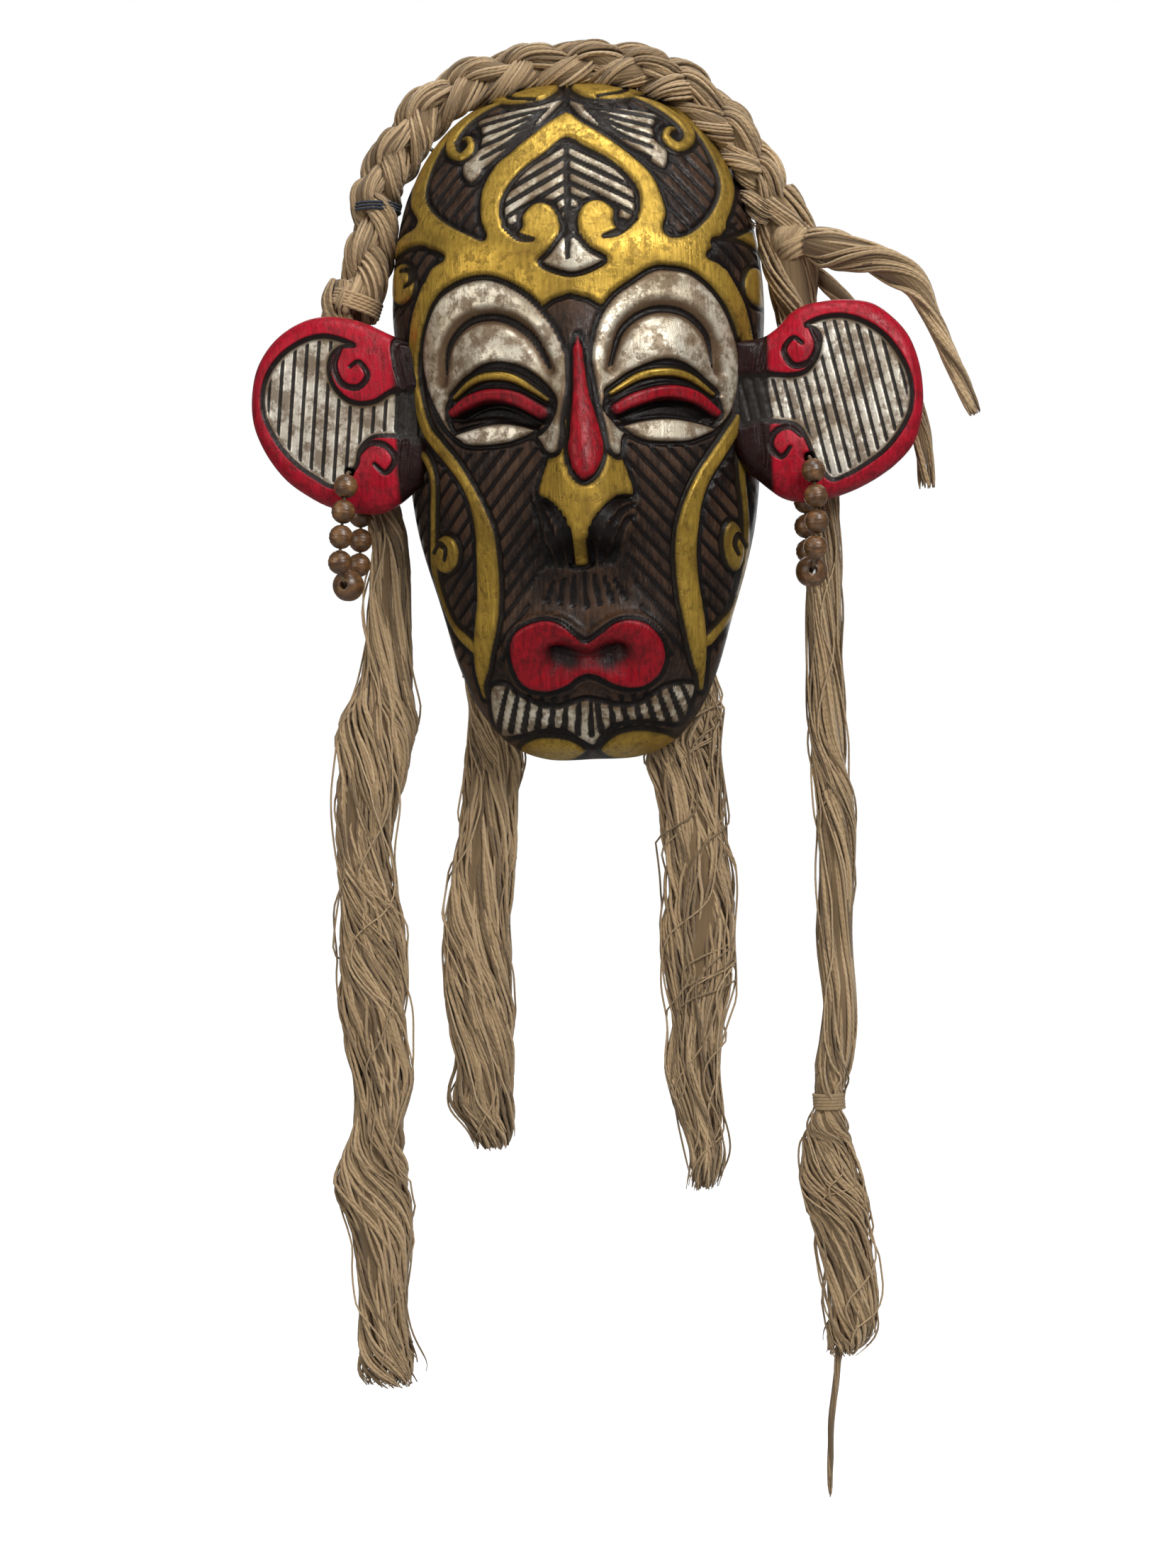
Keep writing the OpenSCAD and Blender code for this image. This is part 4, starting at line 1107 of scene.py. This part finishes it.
def paint_material(name, wood_tones, gold, silver, red):
    """Painted carving: dark stained wood, then gold, silver and red where the marks say, each
    from its clean tone to its worn and dirty ones and darker under painted shade, and near black
    in every cut and in the painted shade of the eye slits, mouth pits and ear holes."""
    finish, tree, skin, place = new_finish(name, specular=0.22)
    coarse = wear_on(tree, place, 85, 0.35)
    small = wear_on(tree, place, 210, 0.2)
    brushed = coarse["Brushed"]
    dirt = coarse["Dirt"]
    in_gold, in_silver, in_red = (
        ramp_of(tree, mark_of(tree, paint), -0.2, 0.35) for paint in ("gold", "silver", "red")
    )
    cut = mark_of(tree, "cut")
    # The dirt-and-shade mark darkens the paint: dirt beside cuts, and painted shade round the lids, in
    # the mouth and under the slits.
    grime_and_shade = times(tree, mark_of(tree, "shade"), plus(tree, 0.35, dirt))
    grain = plus(tree, times(tree, brushed, 0.5), times(tree, dirt, 0.7))

    def over(tone, new_tone, source, low, high, share=1.0):
        """A tone laid over another where the source lies between low and high."""
        mask = ramp_of(tree, source, low, high)
        return blend_colour(tree, times(tree, mask, share), tone, new_tone)

    def rubbed(tone, new_tone, wear, share):
        """A tone showing through another where the paint is worn."""
        return blend_colour(tree, times(tree, wear["Wear"], share), tone, new_tone)

    tone = over(wood_tones[0], wood_tones[1], grain, 0.45, 0.8)
    gold_tone = over(gold[1], gold[0], brushed, 0.3, 0.75)
    gold_tone = over(gold_tone, gold[2], dirt, 0.5, 0.72, 0.75)
    gold_tone = rubbed(gold_tone, gold[3], small, 0.5)
    gold_tone = over(gold_tone, gold[3], grime_and_shade, 0.1, 0.8, 0.7)
    silver_tone = over(silver[0], silver[1], dirt, 0.35, 0.75)
    silver_tone = rubbed(silver_tone, silver[2], coarse, 0.8)
    silver_tone = over(silver_tone, silver[3], grime_and_shade, 0.12, 0.75)
    silver_tone = rubbed(silver_tone, silver[2], small, 0.7)
    red_tone = over(red[0], red[1], brushed, 0.35, 0.7)
    red_tone = rubbed(red_tone, red[2], small, 0.4)
    red_tone = over(red_tone, red[2], grime_and_shade, 0.35, 0.95)
    tone = blend_colour(tree, in_gold, tone, gold_tone)
    tone = blend_colour(tree, in_silver, tone, silver_tone)
    tone = blend_colour(tree, in_red, tone, red_tone)
    # Near black in the cuts, and as painted shade where the cut mark holds it.
    tone = over(tone, CUT_AND_SHADE_BLACK, cut, 0.08, 0.5, 0.97)
    tree.links.new(tone, skin.inputs["Base Color"])
    clean = calc(tree, "SUBTRACT", 1.0, ramp_of(tree, cut, 0.1, 0.6))
    metal = plus(tree, times(tree, in_gold, GOLD_METAL), times(tree, in_silver, SILVER_METAL))
    metal = times(tree, times(tree, metal, clean), calc(tree, "SUBTRACT", 1.0, in_red))
    tree.links.new(metal, skin.inputs["Metallic"])
    rough = plus(tree, 0.24, times(tree, dirt, 0.25))
    rough = plus(tree, rough, times(tree, coarse["Wear"], 0.15))
    rough = calc(tree, "SUBTRACT", rough, times(tree, in_red, 0.06))
    tree.links.new(rough, skin.inputs["Roughness"])
    height = plus(tree, brushed, times(tree, small["Wear"], -0.5))
    put_bump(tree, skin, height, 0.35, 0.0006)
    return finish


painted_wood = paint_material(
    "painted_wood",
    [(0.012, 0.008, 0.007), (0.085, 0.044, 0.025)],
    [(0.66, 0.43, 0.078), (0.44, 0.275, 0.044), (0.27, 0.165, 0.032), (0.11, 0.07, 0.018)],
    [(0.80, 0.74, 0.61), (0.48, 0.40, 0.27), (0.17, 0.11, 0.06), (0.13, 0.08, 0.045)],
    [(0.33, 0.005, 0.014), (0.17, 0.004, 0.009), (0.02, 0.004, 0.005)],
)
marks = {paint: with_back(np.clip(depth_of[paint], -5, 5), corners, -5) for paint in depth_of}
marks["cut"] = with_back(np.clip(groove + hatched + wings + black, 0, 1), corners, 0)
marks["shade"] = with_back(np.clip(shade, 0, 1), corners, 0)
head = make_piece("carved_head", corners, faces, painted_wood, marks=marks)
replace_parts(head, "mask_shell")

# ---- ears -----------------------------------------------------------------------------------
# Two round boards of the same wood, doweled to the sides of the head. A raised red rim curls
# into two bulbs round a sunk silver panel that is cut across with fine dark grooves.
EAR_FRONT = -50.0
EAR_BACK = -38.0
EAR_ROUNDED = 9.0
EAR_GRID = 176
EAR_HOLE = 1.6
BULB_HIGH = 1.6
ear_wood = paint_material(
    "ear_wood",
    [(0.014, 0.009, 0.007), (0.060, 0.033, 0.020)],
    [(0.66, 0.43, 0.085), (0.42, 0.26, 0.045), (0.25, 0.16, 0.035), (0.12, 0.08, 0.02)],
    [(0.78, 0.74, 0.65), (0.46, 0.39, 0.30), (0.15, 0.10, 0.06), (0.12, 0.08, 0.045)],
    [(0.46, 0.008, 0.026), (0.27, 0.006, 0.015), (0.04, 0.005, 0.008)],
)
LEFT_EAR = {
    "middle": [-106, -133],
    "edge": [
        [-66, -104], [-78, -100], [-86, -96], [-92, -93], [-101, -90], [-112, -89], [-121, -91],
        [-130, -96], [-137, -103], [-142, -112], [-144.3, -123], [-144.3, -133], [-142, -142],
        [-137, -152], [-130, -161], [-121, -168], [-112, -173], [-101, -176], [-90, -177],
        [-82, -174], [-74, -168], [-66, -160], [-62, -133],
    ],
    "panel": [
        [-97, -103.5], [-104, -100], [-111, -98.5], [-119, -100], [-128, -105], [-134.5, -112],
        [-138, -120], [-138.5, -130], [-136, -138], [-131, -147], [-124, -155], [-116, -161],
        [-109, -165], [-103, -162], [-98, -156], [-96, -149], [-90, -144], [-80, -144],
        [-68, -146], [-68, -126], [-80, -124], [-88, -128], [-95, -129], [-101, -127],
        [-106, -122], [-108.5, -115], [-107.5, -108], [-103, -104],
    ],
    "cuts": [
        [
            [-103, -105, 0.4], [-106, -112, 0.9], [-103, -120, 0.9], [-96, -122, 0.9],
            [-91.5, -117, 0.8], [-95, -111, 0.6], [-99, -113, 0.4],
        ],
        [
            [-97, -152, 0.5], [-92, -147, 0.9], [-85, -148, 0.9], [-81, -154, 0.8],
            [-85, -160, 0.7], [-90, -156, 0.4],
        ],
        [[-66, -104, 2.5], [-79, -103, 1.4], [-76, -124, 1.2]],
        [[-66, -166, 2.5], [-77, -164, 1.4], [-76, -146, 1.2]],
    ],
    "hole": [-101.5, -159], "lean": 6.0, "step": 5.2, "dark_to": 75,
    "bulbs": [[-97, -114, 9], [-88, -154.5, 7.5]],
}
RIGHT_EAR = {
    "middle": [112, -137],
    "edge": [
        [66, -108], [80, -108], [88, -104], [94, -98], [100, -94.5], [108, -93], [118, -92.5],
        [130, -94.5], [139, -101], [146, -110], [150, -122], [151.2, -135], [150, -146],
        [146, -157], [138, -165.5], [128, -172], [118, -176.5], [109, -179], [98, -180.3],
        [88, -178], [78, -170], [68, -160], [62, -137],
    ],
    "panel": [
        [101, -104], [108, -101], [117, -100.5], [126, -103.5], [135, -110], [142, -120],
        [145.5, -130], [145.5, -140], [142, -149], [134, -159], [124, -166], [116, -170],
        [109, -171.5], [103, -163], [99, -153], [96, -148], [91, -146], [80, -145],
        [70, -146], [70, -126], [82, -124.5], [93, -125.5], [100, -124], [105, -118],
        [107, -110], [105, -106],
    ],
    "cuts": [
        [
            [103, -106, 0.4], [105.5, -113, 0.9], [102, -120, 0.9], [95, -121.5, 0.9],
            [91, -115, 0.8], [95, -109.5, 0.6], [99, -112, 0.4],
        ],
        [
            [97, -152, 0.5], [92, -148, 0.9], [86, -150, 0.9], [83.5, -156, 0.8], [88, -161, 0.7],
            [92, -157, 0.4],
        ],
        [[66, -108, 2.5], [81, -106, 1.4], [79, -124, 1.2]],
        [[68, -166, 2.5], [79, -164, 1.4], [79, -147, 1.2]],
    ],
    "hole": [100, -161.5], "lean": -12.0, "step": 4.6, "dark_to": 79,
    "bulbs": [[97, -114, 9], [90.5, -156, 7.5]],
}


def carve_ear(name, ear, node):
    """An ear board. Its front is a square grid drawn out to the board's edge line, rounded over
    at the edge, with the panel and the grooves let in and the rim and bulbs left standing."""
    mx, mz = ear["middle"]
    edge = line_through(np.array(ear["edge"] + ear["edge"][:1], float), 300)
    angle = np.mod(np.arctan2(edge[:, 0] - mx, edge[:, 1] - mz), 2 * np.pi)
    order = np.argsort(angle)
    reach = np.hypot(edge[:, 0] - mx, edge[:, 1] - mz)[order]

    def edge_at(way):
        return np.interp(np.mod(way, 2 * np.pi), angle[order], reach, period=2 * np.pi)

    out, way = round_grid(EAR_GRID, EAR_GRID)
    x = mx + out * edge_at(way) * np.sin(way)
    z = mz + out * edge_at(way) * np.cos(way)
    panel = edge_distance(x, z, ear["panel"])
    # The panel's slots are parallel cuts, a step apart, leaning by so many degrees.
    lean = math.radians(ear["lean"])
    run = x * math.cos(lean) - z * math.sin(lean)
    gap = np.abs((run / ear["step"]) % 1 - 0.5) * ear["step"]
    slots = np.clip(1.1 - gap / 1.0, 0, 1) * eased(1.5, 2.5, panel)
    line = np.clip(1.25 - np.abs(panel) / 1.1, 0, 1)
    line = np.maximum(line, cut_field(x, z, ear["cuts"]))
    # The earring hole is sunk and made near black through the cut mark: painted shade for its bore.
    hole = np.hypot(x - ear["hole"][0], z - ear["hole"][1])
    pierced = 1 - eased(EAR_HOLE, EAR_HOLE + 0.9, hole)
    deep = -1.8 * eased(0, 1.6, panel) - 1.0 * line - 0.8 * slots - 5 * pierced
    for bx, bz, br in ear["bulbs"]:
        deep = deep + BULB_HIGH * hill(x, z, bx, bz, br, br)
    crown = EAR_ROUNDED * (1 - out**12) ** 0.5
    y = EAR_FRONT + EAR_ROUNDED - crown - deep * eased(1.0, 0.95, out)
    way = way.ravel()[grid_edge(x.shape)]
    rings = []
    for share, height in ((1.0, EAR_BACK - 1.0), (0.985, EAR_BACK), (0.5, EAR_BACK), (0.15, EAR_BACK)):
        far = share * edge_at(way)
        ring = [mx + far * np.sin(way), np.full(way.shape, height), mz + far * np.cos(way)]
        rings.append(np.stack(ring, axis=-1))
    points, quads = closed_behind(np.stack([x, y, z], axis=-1), rings)
    neck = eased(ear["dark_to"] + 8, ear["dark_to"], np.abs(x))
    board = make_piece(
        name, points, quads, ear_wood,
        marks={
            "gold": with_back(np.full(x.shape, -5.0), points, -5),
            "silver": with_back(np.clip(panel, -5, 5), points, -5),
            "red": with_back(np.clip(-panel, -5, 5), points, 5),
            "cut": with_back(np.clip(line + slots + pierced + neck, 0, 1), points, 0),
            "shade": with_back(0.8 * (1 - eased(0.5, 4, np.abs(panel))) * (panel > 0), points, 0),
        },
    )
    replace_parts(board, node)


carve_ear("left_ear_board", LEFT_EAR, "left_ear")
carve_ear("right_ear_board", RIGHT_EAR, "right_ear")

# ---- dowels, hanger and nails ---------------------------------------------------------------
# Plain turned dowels hold the ears. A small steel plate, nailed on at the back of the crown,
# takes the hook; thin nails hold the hair.


def surface_material(name, tones, scale, stretch, rough, metal=0.0, coat=0.0, bump=0.2):
    """Two tones over stretched noise and a third in worn spots: wood grain on wood, dull wear on
    steel."""
    finish, tree, skin, place = new_finish(name)
    skin.inputs["Metallic"].default_value = metal
    skin.inputs["Coat Weight"].default_value = coat
    skin.inputs["Coat Roughness"].default_value = 0.25
    grain = noise_of(tree, stretched(tree, place, stretch), scale, 5.0, 0.65)
    tone = blend_colour(tree, ramp_of(tree, grain, 0.35, 0.65), tones[0], tones[1])
    spots = wear_on(tree, place, 260)["Wear"]
    tone = blend_colour(tree, times(tree, spots, 0.6), tone, tones[2])
    tree.links.new(tone, skin.inputs["Base Color"])
    tree.links.new(plus(tree, rough, times(tree, grain, 0.2)), skin.inputs["Roughness"])
    put_bump(tree, skin, grain, bump, 0.0004)
    return finish


def dress(node, material):
    """The CAD node keeps its shape and takes the finish."""
    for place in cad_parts[node].material_slots:
        place.material = material


raw_wood = surface_material(
    "raw_wood", [(0.36, 0.22, 0.11), (0.24, 0.14, 0.065), (0.10, 0.06, 0.03)], 220, (1, 1, 0.15), 0.5,
)
steel = surface_material(
    "plate_steel", [(0.42, 0.42, 0.41), (0.30, 0.30, 0.29), (0.16, 0.10, 0.06)], 300, (1, 1, 0.3), 0.3,
    metal=0.9,
)
nail_steel = surface_material(
    "nail_steel", [(0.36, 0.35, 0.34), (0.22, 0.21, 0.20), (0.14, 0.08, 0.05)], 400, (1, 1, 1), 0.35,
    metal=0.9,
)
dress("left_ear_dowels", raw_wood)
dress("right_ear_dowels", raw_wood)
dress("hanger_plate", steel)
dress("hanger_nails", nail_steel)
dress("tress_nails", nail_steel)

# ---- plait ----------------------------------------------------------------------------------
# Three fat strands of the same jute, plaited over the crown from ear to ear and tacked to the
# head. Twine ties its left end, a dark thread marks the left side, a knot ends it at the right.
PLAIT = [
    [-104.5, -82], [-100, -69], [-97, -56], [-94, -43], [-93, -30], [-87.5, -18], [-79, -7],
    [-71, 4], [-60, 13], [-47, 19.5], [-33, 23.5], [-19, 26.5], [-5, 27], [9, 26.5], [23, 25.5],
    [37, 22], [50, 17], [61, 8], [71, -2.5], [79.5, -14], [86.5, -26], [91, -38.5], [93, -50],
]
PLAIT_Y = -20
# Steps of the plait's line, its length in mm from one given point to the next, the length in
# which a strand crosses over and back, how far it moves sideways and in depth, its half width,
# and how far inside the given line the plait's middle lies.
PLAIT_COUNT = 133
PLAIT_STEP = 13.6
STRAND_TURN = 76
STRAND_SIDE = 6.0
STRAND_DEEP = 4.9
STRAND_FAT = 6.9
PLAIT_IN = 5.5
plait_line = line_through(PLAIT, PLAIT_COUNT)
plait_way = np.gradient(plait_line, axis=0)
plait_way /= np.linalg.norm(plait_way, axis=1, keepdims=True)
plait_side = np.stack([-plait_way[:, 1], plait_way[:, 0]], axis=1)
plait_at = np.linspace(0, len(PLAIT) - 1, PLAIT_COUNT)
for k in range(3):
    turn = 2 * np.pi * (plait_at * PLAIT_STEP / STRAND_TURN + k / 3)
    side = STRAND_SIDE * np.sin(turn) - PLAIT_IN
    rows = np.stack(
        [
            plait_line[:, 0] + side * plait_side[:, 0],
            PLAIT_Y + STRAND_DEEP * np.sin(2 * turn),
            plait_line[:, 1] + side * plait_side[:, 1],
            STRAND_FAT + 0.7 * np.cos(2 * turn),
        ], axis=1,
    )
    strand = put_bundle(
        f"plait_strand_yarn_{k + 1}", rows, 30, 6, 13, 40 + k, yarn_r=0.72, rings=240, ragged=0.0,
        turns=7.0, stop=1.0, frame_by=(0, 1, 0),
    )
    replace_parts(strand, f"plait_strand_{k + 1}")


def winding(middle, way, wide, deep, turns, pitch, steps=26):
    """Turns of twine laid side by side: an oval carried round the middle while it moves on
    along the way by one pitch for each turn."""
    way = np.array(way, float) / np.linalg.norm(way)
    side = np.cross(way, [0, 1, 0])
    side /= np.linalg.norm(side)
    t = np.linspace(0, turns, int(turns * steps) + 1)
    a = 2 * np.pi * t
    return (
        np.array(middle, float)
        + np.outer(wide * np.cos(a), side) + np.outer(deep * np.sin(a), [0, 1, 0])
        + np.outer((t - turns / 2) * pitch, way)
    )


def put_twine(name, line, radius, node, material, guide=(0, 1, 0), seed=1):
    """One or more lengths of twine in one piece, standing for a CAD node."""
    lines = np.array(line, float)
    lines = lines[None] if lines.ndim == 2 else lines
    corners, faces, wind, length = tubes_round(lines * MM, radius * MM, 8, guide)
    rng = np.random.default_rng(seed)
    tint = np.repeat(rng.uniform(0.15, 0.6, len(lines)), lines.shape[1] * 8)
    marks = {"wind": wind, "length": length, "tint": tint}
    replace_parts(make_piece(name, corners, faces, material, marks=marks), node)


# Thin tacks through the middle of the plait hold it on to the head.
tack_lines = []
for u in (2.2, 6.4, 10.6, 14.8, 19):
    k = int(round(u / (len(PLAIT) - 1) * (PLAIT_COUNT - 1)))
    root = np.array([plait_line[k, 0], PLAIT_Y, plait_line[k, 1]])
    way = np.array([plait_side[k, 0], 0, plait_side[k, 1]])
    tack_lines.append([root - j * way for j in np.linspace(2, 19, 6)])
put_twine("plait_tack_pins", np.array(tack_lines), 0.9, "plait_tacks", nail_steel)
dark_thread = fibre_material(
    "dark_thread", (0.035, 0.05, 0.09), (0.015, 0.025, 0.05), (0.006, 0.01, 0.02), 220, 0.8
)
FINE_COUNT = 221
fine_line = line_through(PLAIT, FINE_COUNT)


def plait_spot(k, reach, shift):
    """A place on the plait's line moved by a shift, and the way of the line over so many steps."""
    way = fine_line[k + reach] - fine_line[k - reach]
    middle = [fine_line[k, 0] + shift[0], PLAIT_Y, fine_line[k, 1] + shift[1]]
    return middle, [way[0], 0.0, way[1]]


# Windings: middle and way, then half width, half depth, turns, pitch and the twine's radius.
DOWN = [0.02, 0.0, -1.0]
for name, node, (middle, way), wide, deep, turns, pitch, radius, material, slot in [
    ("plait_dark_thread", "plait_thread_tie", plait_spot(34, 2, (5.4, -0.6)),
     10.6, 10.4, 3.2, 1.4, 0.55, dark_thread, "dark_thread"),
    ("plait_left_twine", "plait_left_tie", plait_spot(3, 3, (4.4, -1.5)),
     11.0, 10.4, 5.2, 1.5, 0.85, jute, "jute_twine"),
    ("right_band_twine", "right_outer_band", ([98.5, -14, -446], [0.03, 0.0, -1.0]),
     6.6, 5.6, 5.2, 1.4, 0.8, jute, "jute_twine"),
    ("left_whipping_twine", "left_inner_whipping", ([-49.4, -10.8, -247], DOWN),
     8.9, 6.8, 4.2, 1.4, 0.8, jute, "jute_twine"),
    ("right_whipping_twine", "right_inner_whipping", ([46.8, -10.8, -247], DOWN),
     8.9, 6.8, 4.2, 1.4, 0.8, jute, "jute_twine"),
]:
    line = winding(middle, way, wide, deep, turns, pitch)
    upward = way if way[2] > 0 else (0, 0, 1)
    put_twine(name, line, radius, node, material, guide=upward)
# Where the plait ends at each side its yarns swell out and turn down behind the ears.
LEFT_SWELL = [
    [-102, -20, -70, 9], [-104, -19, -80, 11.5], [-105, -17, -92, 11.5], [-104.5, -15, -104, 9.5],
    [-104, -14, -118, 8.5],
]
RIGHT_SWELL = [
    [90, -20, -40, 10], [93.5, -20, -52, 13], [96, -19, -66, 14], [97, -17, -80, 12.5],
    [98, -15, -94, 10], [99, -14, -108, 7.5],
]
for name, rows, seed in (("left_plait_swell", LEFT_SWELL, 61), ("right_plait_swell", RIGHT_SWELL, 62)):
    put_bundle(
        name, rows, 11, 6, 20, seed, rings=46, ragged=0.1, turns=0.4, yarn_r=0.8, frame_by=(0, 1, 0),
    )
# The knot: rings of yarn that lie along two crossing ways over a ball.
KNOT = np.array([97.5, -20, -62])
KNOT_RADIUS = 9.6
KNOT_RINGS = 34
KNOT_WAYS = np.array([[0.35, -0.2, -0.91], [0.72, 0.1, -0.69]])
knot_lines = []
knot_ways = []
for k in range(KNOT_RINGS):
    rng = np.random.default_rng(300 + k)
    height = -8.2 + 16.4 * ((k * 7) % KNOT_RINGS) / (KNOT_RINGS - 1)
    wide = math.sqrt(max(KNOT_RADIUS**2 - height**2, 4))
    way = KNOT_WAYS[k % 2] + rng.uniform(-0.12, 0.12, 3)
    middle = KNOT + height * way / np.linalg.norm(way)
    knot_lines.append(winding(middle, way, wide, wide * 0.96, 1.0, 0.3, 30))
    knot_ways.append(way)
put_twine(
    "plait_knot_yarn", np.array(knot_lines), 0.95, "plait_right_knot", jute,
    guide=np.array(knot_ways)[:, None, :], seed=5,
)

# ---- earrings -------------------------------------------------------------------------------
# Turned brown beads on a doubled thread through each ear, with one larger bead at the bottom.
# Each bead is a bored ball of hard wood with fine lathe rings, dipped in brown varnish.
bead_wood = surface_material(
    "bead_wood", [(0.27, 0.135, 0.052), (0.125, 0.055, 0.02), (0.04, 0.02, 0.008)], 130, (1, 1, 2.2),
    0.3, coat=0.35, bump=0.3,
)
thread = surface_material(
    "bead_thread", [(0.30, 0.22, 0.13), (0.18, 0.13, 0.08), (0.08, 0.05, 0.03)], 500, (1, 1, 1), 0.7,
)
BEAD_RADIUS = 5.3
DROP_RADIUS = 7.0
BEAD_BORE = 1.5
DROP_BORE = 1.9
BEAD_STEPS = 26
BEAD_SIDES = 40
LATHE_DEEP = 0.10
LATHE_STEP = 1.9


def turned_bead(name, node, middle, way, radius, bore, body):
    """A bead turned about the way. Its outer profile is a ball's, radius times cosine of the
    height angle, with shallow lathe rings cut in by a cosine of the height; its inner profile is
    the straight bore, flared at both mouths."""
    top = math.sqrt(radius**2 - bore**2)
    angle = np.linspace(-math.asin(top / radius), math.asin(top / radius), BEAD_STEPS)
    level = radius * np.sin(angle)
    rings = LATHE_DEEP * (1 + np.cos(2 * np.pi * level / LATHE_STEP)) * np.cos(angle) ** 2
    out = radius * np.cos(angle) - rings
    flare = np.array([0.96, 0.86, 0.5, 0, -0.5, -0.86, -0.96]) * top
    inner = bore - 0.35 + 0.3 * (np.abs(flare) / top) ** 6
    level = np.concatenate([level, flare])
    out = np.concatenate([out, inner])
    way = way / np.linalg.norm(way)
    side = np.cross(way, [0, 1, 0.1])
    side /= np.linalg.norm(side)
    other = np.cross(way, side)
    turn = 2 * np.pi * np.arange(BEAD_SIDES) / BEAD_SIDES
    ring = np.cos(turn)[:, None] * side + np.sin(turn)[:, None] * other
    points = np.array(middle, float) + level[:, None, None] * way + out[:, None, None] * ring
    spot = np.arange(len(level) * BEAD_SIDES).reshape(len(level), BEAD_SIDES)
    spot = np.concatenate([spot, spot[:1]])
    nxt = np.roll(spot, -1, axis=1)
    faces = np.stack([spot[:-1], nxt[:-1], nxt[1:], spot[1:]], axis=-1).reshape(-1, 4)
    bead = make_piece(name, points.reshape(-1, 3) * MM, faces, bead_wood, body=body)
    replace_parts(bead, node)


# The thread's line through the beads of each loop, from the ear down the front and up the back.
LOOPS = {
    "left": [
        [-102, -58, -166], [-103.5, -58.2, -177], [-105, -58.2, -188], [-106, -57.4, -199],
        [-105.6, -53, -206], [-104.3, -45.5, -208.4], [-102.4, -38, -205.5], [-101, -32, -198.5],
        [-100, -31, -187.5], [-99.6, -31, -176.5],
    ],
    "right": [
        [101.4, -58, -168.5], [102, -58.2, -179.5], [102, -58.2, -190.5], [101, -57.4, -201.5],
        [100.2, -53, -208.5], [99.2, -45.5, -211], [98.6, -38, -208], [98.3, -32, -201],
        [98, -31, -190], [98.2, -31, -179],
    ],
}
ABOVE = {
    "left": [[-101.5, -54.5, -160], [-100.2, -31.3, -166]],
    "right": [[100.4, -54.5, -162.5], [98.8, -31.3, -168.5]],
}
# Which points of the loop carry small beads, and which one the bottom bead.
BEAD_SPOTS = [0, 1, 2, 3, 7, 8, 9]
DROP_SPOT = 5
for side, loop in LOOPS.items():
    dress(f"{side}_earring_thread", thread)
    loop = np.array([ABOVE[side][0]] + loop + [ABOVE[side][1]], float)
    ways = loop[2:] - loop[:-2]
    body = f"{side}_earring"
    for k, spot in enumerate(BEAD_SPOTS, 1):
        turned_bead(
            f"{side}_turned_bead_{k}", f"{side}_bead_{k}", loop[spot + 1], ways[spot],
            BEAD_RADIUS, BEAD_BORE, body,
        )
    turned_bead(
        f"{side}_turned_drop", f"{side}_drop_bead", loop[DROP_SPOT + 1], ways[DROP_SPOT],
        DROP_RADIUS, DROP_BORE, body,
    )
